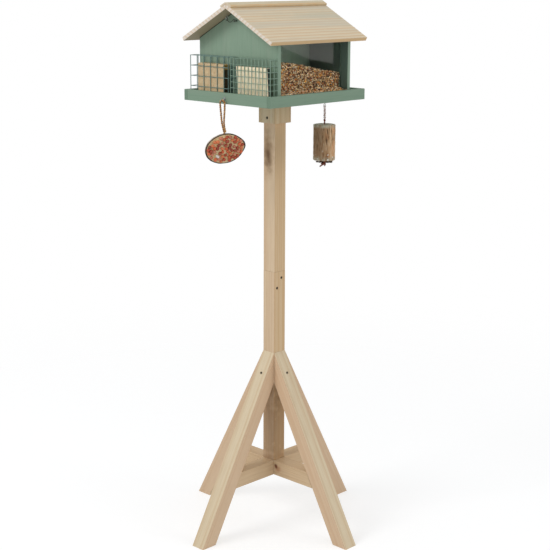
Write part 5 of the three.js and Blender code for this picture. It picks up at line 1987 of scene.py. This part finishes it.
@dataclass
class Stand:
    """The legs, the cross brace, the post and its collar, in bare pine."""

    nodes: dict[str, Piece]
    easing: float = 0.9 * MM
    cheek: Colour = tint(218, 180, 148)
    # How far the painted shade round each leg's screw reaches.
    hole_shade_reach: float = 6.2 * MM

    def dress(self) -> None:
        """Gives each stick its grain, its knots, its painted shade and eased edges."""
        post_knots = [
            KnotOrShade((-0.020, 0.004, 1.012), (0.010, 0.026, 0.082), tint(150, 116, 80), 0.8, 0.1),
            KnotOrShade((-0.020, 0.004, 1.0035), (0.012, 0.017, 0.046), tint(100, 74, 48), 0.9, 0.05),
        ]
        brace_knots = [
            KnotOrShade((-0.0200, -0.0350, 0.1560), (0.006, 0.016, 0.011), tint(176, 120, 86), 0.6, 0.2),
            KnotOrShade((-0.0200, -0.0275, 0.1625), (0.007, 0.0078, 0.0085), tint(112, 66, 44), 0.95, 0.5),
        ]
        # Painted shade on the lower post where it stands between the legs.
        painted_shade_between_legs = KnotOrShade((0.0, 0.0, 0.26), (0.08, 0.08, 0.19), tint(150, 114, 78), 0.58, 0.4)
        post_tones = both_ways((1, 0, 0), tint(222, 192, 166), 0.35)
        post_tones += both_ways((0, 1, 0), tint(214, 174, 126), 0.4)
        cheeks_x = both_ways((1, 0, 0), self.cheek, 0.5)
        cheeks_y = both_ways((0, 1, 0), self.cheek, 0.5)
        sticks: list[Board] = [
            ("leg_left", PINE, Grain.LEG_LEFT, (-0.1186, 0.004, 0.2476), [*cheeks_y, self.hole_shade("left")]),
            ("leg_front", PINE, Grain.LEG_FRONT, (-0.003, -0.1186, 0.2476), [*cheeks_x, self.hole_shade("front")]),
            ("leg_right", PINE, Grain.LEG_RIGHT, (0.1186, -0.005, 0.2476), [*cheeks_y, self.hole_shade("right")]),
            ("leg_back", PINE, Grain.LEG_BACK, (0.004, 0.1186, 0.2476), [*cheeks_x, self.hole_shade("back")]),
            ("brace_bar_side", BRACE_PINE, Grain.ALONG_X, (0.0, 0.04, 0.11), []),
            ("brace_bar_front", BRACE_PINE, Grain.ALONG_Y, (0.045, 0.0, 0.12), brace_knots),
            ("lower_post", POST_PINE, Grain.UPRIGHT, (0.034, 0.062, 0.4), [*post_tones, painted_shade_between_legs]),
            ("upper_post", POST_PINE, Grain.UPRIGHT, (0.052, -0.008, 0.9), [*post_tones, *post_knots]),
            ("collar_front", POST_PINE, Grain.UPRIGHT, (0.01, 0.045, 1.1), []),
            ("collar_back", POST_PINE, Grain.UPRIGHT, (0.0, -0.03, 1.1), []),
            ("collar_left", PINE, Grain.UPRIGHT, (0.04, 0.01, 1.1), []),
            ("collar_right", PINE, Grain.UPRIGHT, (-0.04, 0.0, 1.1), []),
        ]
        dress_boards(self.nodes, sticks, self.easing)

    def hole_shade(self, side: str) -> KnotOrShade:
        """Works out the painted shade round a leg's screw, which stands for the shade in its countersunk
        hole.

        Args:
            side: The leg's side.

        Returns:
            The painted shade, as a knot.
        """
        low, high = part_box(f"leg_screw_{side}")
        middle = (low + high) / 2
        out = Vector((middle.x, middle.y, 0)).normalized()
        head = middle + out * (high - low).dot(Vector((abs(out.x), abs(out.y), 0))) / 2
        return KnotOrShade(tuple(head), (self.hole_shade_reach,) * 3, tint(66, 50, 34), 0.9, 0.55)


@dataclass
class House:
    """The sage green tray and house, their clear panes and the pine roof."""

    nodes: dict[str, Piece]
    easing: float = 0.7 * MM

    def dress(self) -> None:
        """Dresses the boards, the panes and the roof, with painted shade in the gap under the roof, on the
        gables' inner faces and under the roof panels.
        """
        # Painted shadow along the gables' sloping edges, in the gap under the roof.
        roof_gap_shadow = RoofGapShadow(1.3814, 0.538, 3 * MM, tint(38, 42, 34))
        # Painted shade on the gables' inner faces, inside the house.
        inner_gable_shade = tint(84, 104, 94)
        left_marks, right_marks = ([roof_gap_shadow, FaceTint((inward, 0, 0), inner_gable_shade, 0.8)] for inward in (1, -1))
        boards: list[Board] = [
            ("tray_floor", SHADED_RIM_STAIN, Grain.ALONG_X, (0, 0.02, 1.09), []),
            ("rim_front", SHADED_RIM_STAIN, Grain.ALONG_X, (0, -0.11, 1.20), []),
            ("rim_back", SHADED_RIM_STAIN, Grain.ALONG_X, (0, 0.12, 1.21), []),
            ("rim_left", SHADED_RIM_STAIN, Grain.ALONG_Y, (-0.13, 0, 1.19), []),
            ("rim_right", SHADED_RIM_STAIN, Grain.ALONG_Y, (0.12, 0, 1.20), []),
            ("gable_left", SAGE_STAIN, Grain.UPRIGHT, (-0.09, 0.03, 1.2), left_marks),
            ("gable_right", SAGE_STAIN, Grain.UPRIGHT, (0.08, -0.02, 1.2), right_marks),
            ("divider", SAGE_STAIN, Grain.UPRIGHT, (0.02, 0.06, 1.2), []),
        ]
        dress_boards(self.nodes, [*boards, *self.roof_boards()], self.easing)
        for name in ("pane_front", "pane_back"):
            dress(self.nodes[name], ACRYLIC.material(name))
            self.nodes[name].visible_shadow = False

    def roof_boards(self) -> list[Board]:
        """Lists the roof's boards with their streaks, the painted shade on their undersides and the ridge
        cap's warm edge.

        Returns:
            The two panels and the cap, as dress_boards takes them.
        """
        band = KnotOrShade((0.12, -0.055, 1.362), (0.26, 0.03, 0.05), tint(196, 190, 166), 0.55, 0.1)
        warm = KnotOrShade((0.0, -0.0165, 1.388), (0.6, 0.0045, 0.012), tint(212, 168, 112), 0.7, 0.3)
        eaves = [FaceTint((0, 0.88 * way, -0.47), tint(208, 172, 124), 0.75) for way in (-1, 1)]
        # Painted shade on the undersides of the roof panels.
        shade_under_front, shade_under_back = (
            FaceTint((0, 0.47 * way, -0.88), tint(158, 148, 124), 0.85) for way in (1, -1)
        )
        return [
            ("roof_panel_front", ROOF_PINE, Grain.ALONG_X, (0.0, -0.235, 1.16), [band, *eaves, shade_under_front]),
            ("roof_panel_back", ROOF_PINE, Grain.ALONG_X, (0.0, 0.22, 1.15), [*eaves, shade_under_back]),
            ("ridge_cap", CAP_PINE, Grain.ALONG_X, (0.0, 0.01, 1.35), [warm]),
        ]


@dataclass
class Wirework:
    """The hooks, eyes and suet cages."""

    nodes: dict[str, Piece]
    bright: tuple[str, ...] = ("roof_eye_left", "roof_eye_right", "log_eye")
    hooks: tuple[str, ...] = ("latch_hook_left", "latch_hook_right", "gable_eye_left", "gable_eye_right")

    def dress(self) -> None:
        """Dresses each wire piece."""
        wires = (
            (self.bright, BRIGHT_WIRE.material("bright_wire")),
            (("rim_hook",), RIM_HOOK_WIRE.material("rim_hook_wire")),
            (self.hooks, HOOK_WIRE.material("hook_wire")),
        )
        for names, finish in wires:
            for name in names:
                dress(self.nodes[name], finish)
                round_wire(self.nodes[name])
        for name, coating in (("cage_coarse", COARSE_WIRE), ("cage_fine", FINE_WIRE)):
            dress(self.nodes[name], coating.material(name))


def main() -> None:
    """Builds the bird table's looks, from the cords to the last screw, and then the studio."""
    logging.basicConfig(level=logging.INFO, format="%(name)s: %(message)s")
    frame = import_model()
    nodes = frame["nodes"]
    CoconutFeeder().build()
    LogFeeder().build()
    SeedFill("front", -1, 11).build()
    SeedFill("back", 1, 12).build()
    SuetCake("thick", "suet_tan", TAN_SUET, TAN_END_SHADE, MUSTARD_END_TOP_LIGHT, 0.0).build()
    SuetCake("thin", "suet_cream", CREAM_SUET, DARK_END_SHADE, DARK_END_SHADE, 6 * MM).build()
    Screws().build()
    Stand(nodes).dress()
    House(nodes).dress()
    Wirework(nodes).dress()
    Studio().build()
    LOG.info("the bird table is dressed")


if __name__ == "__main__":
    main()
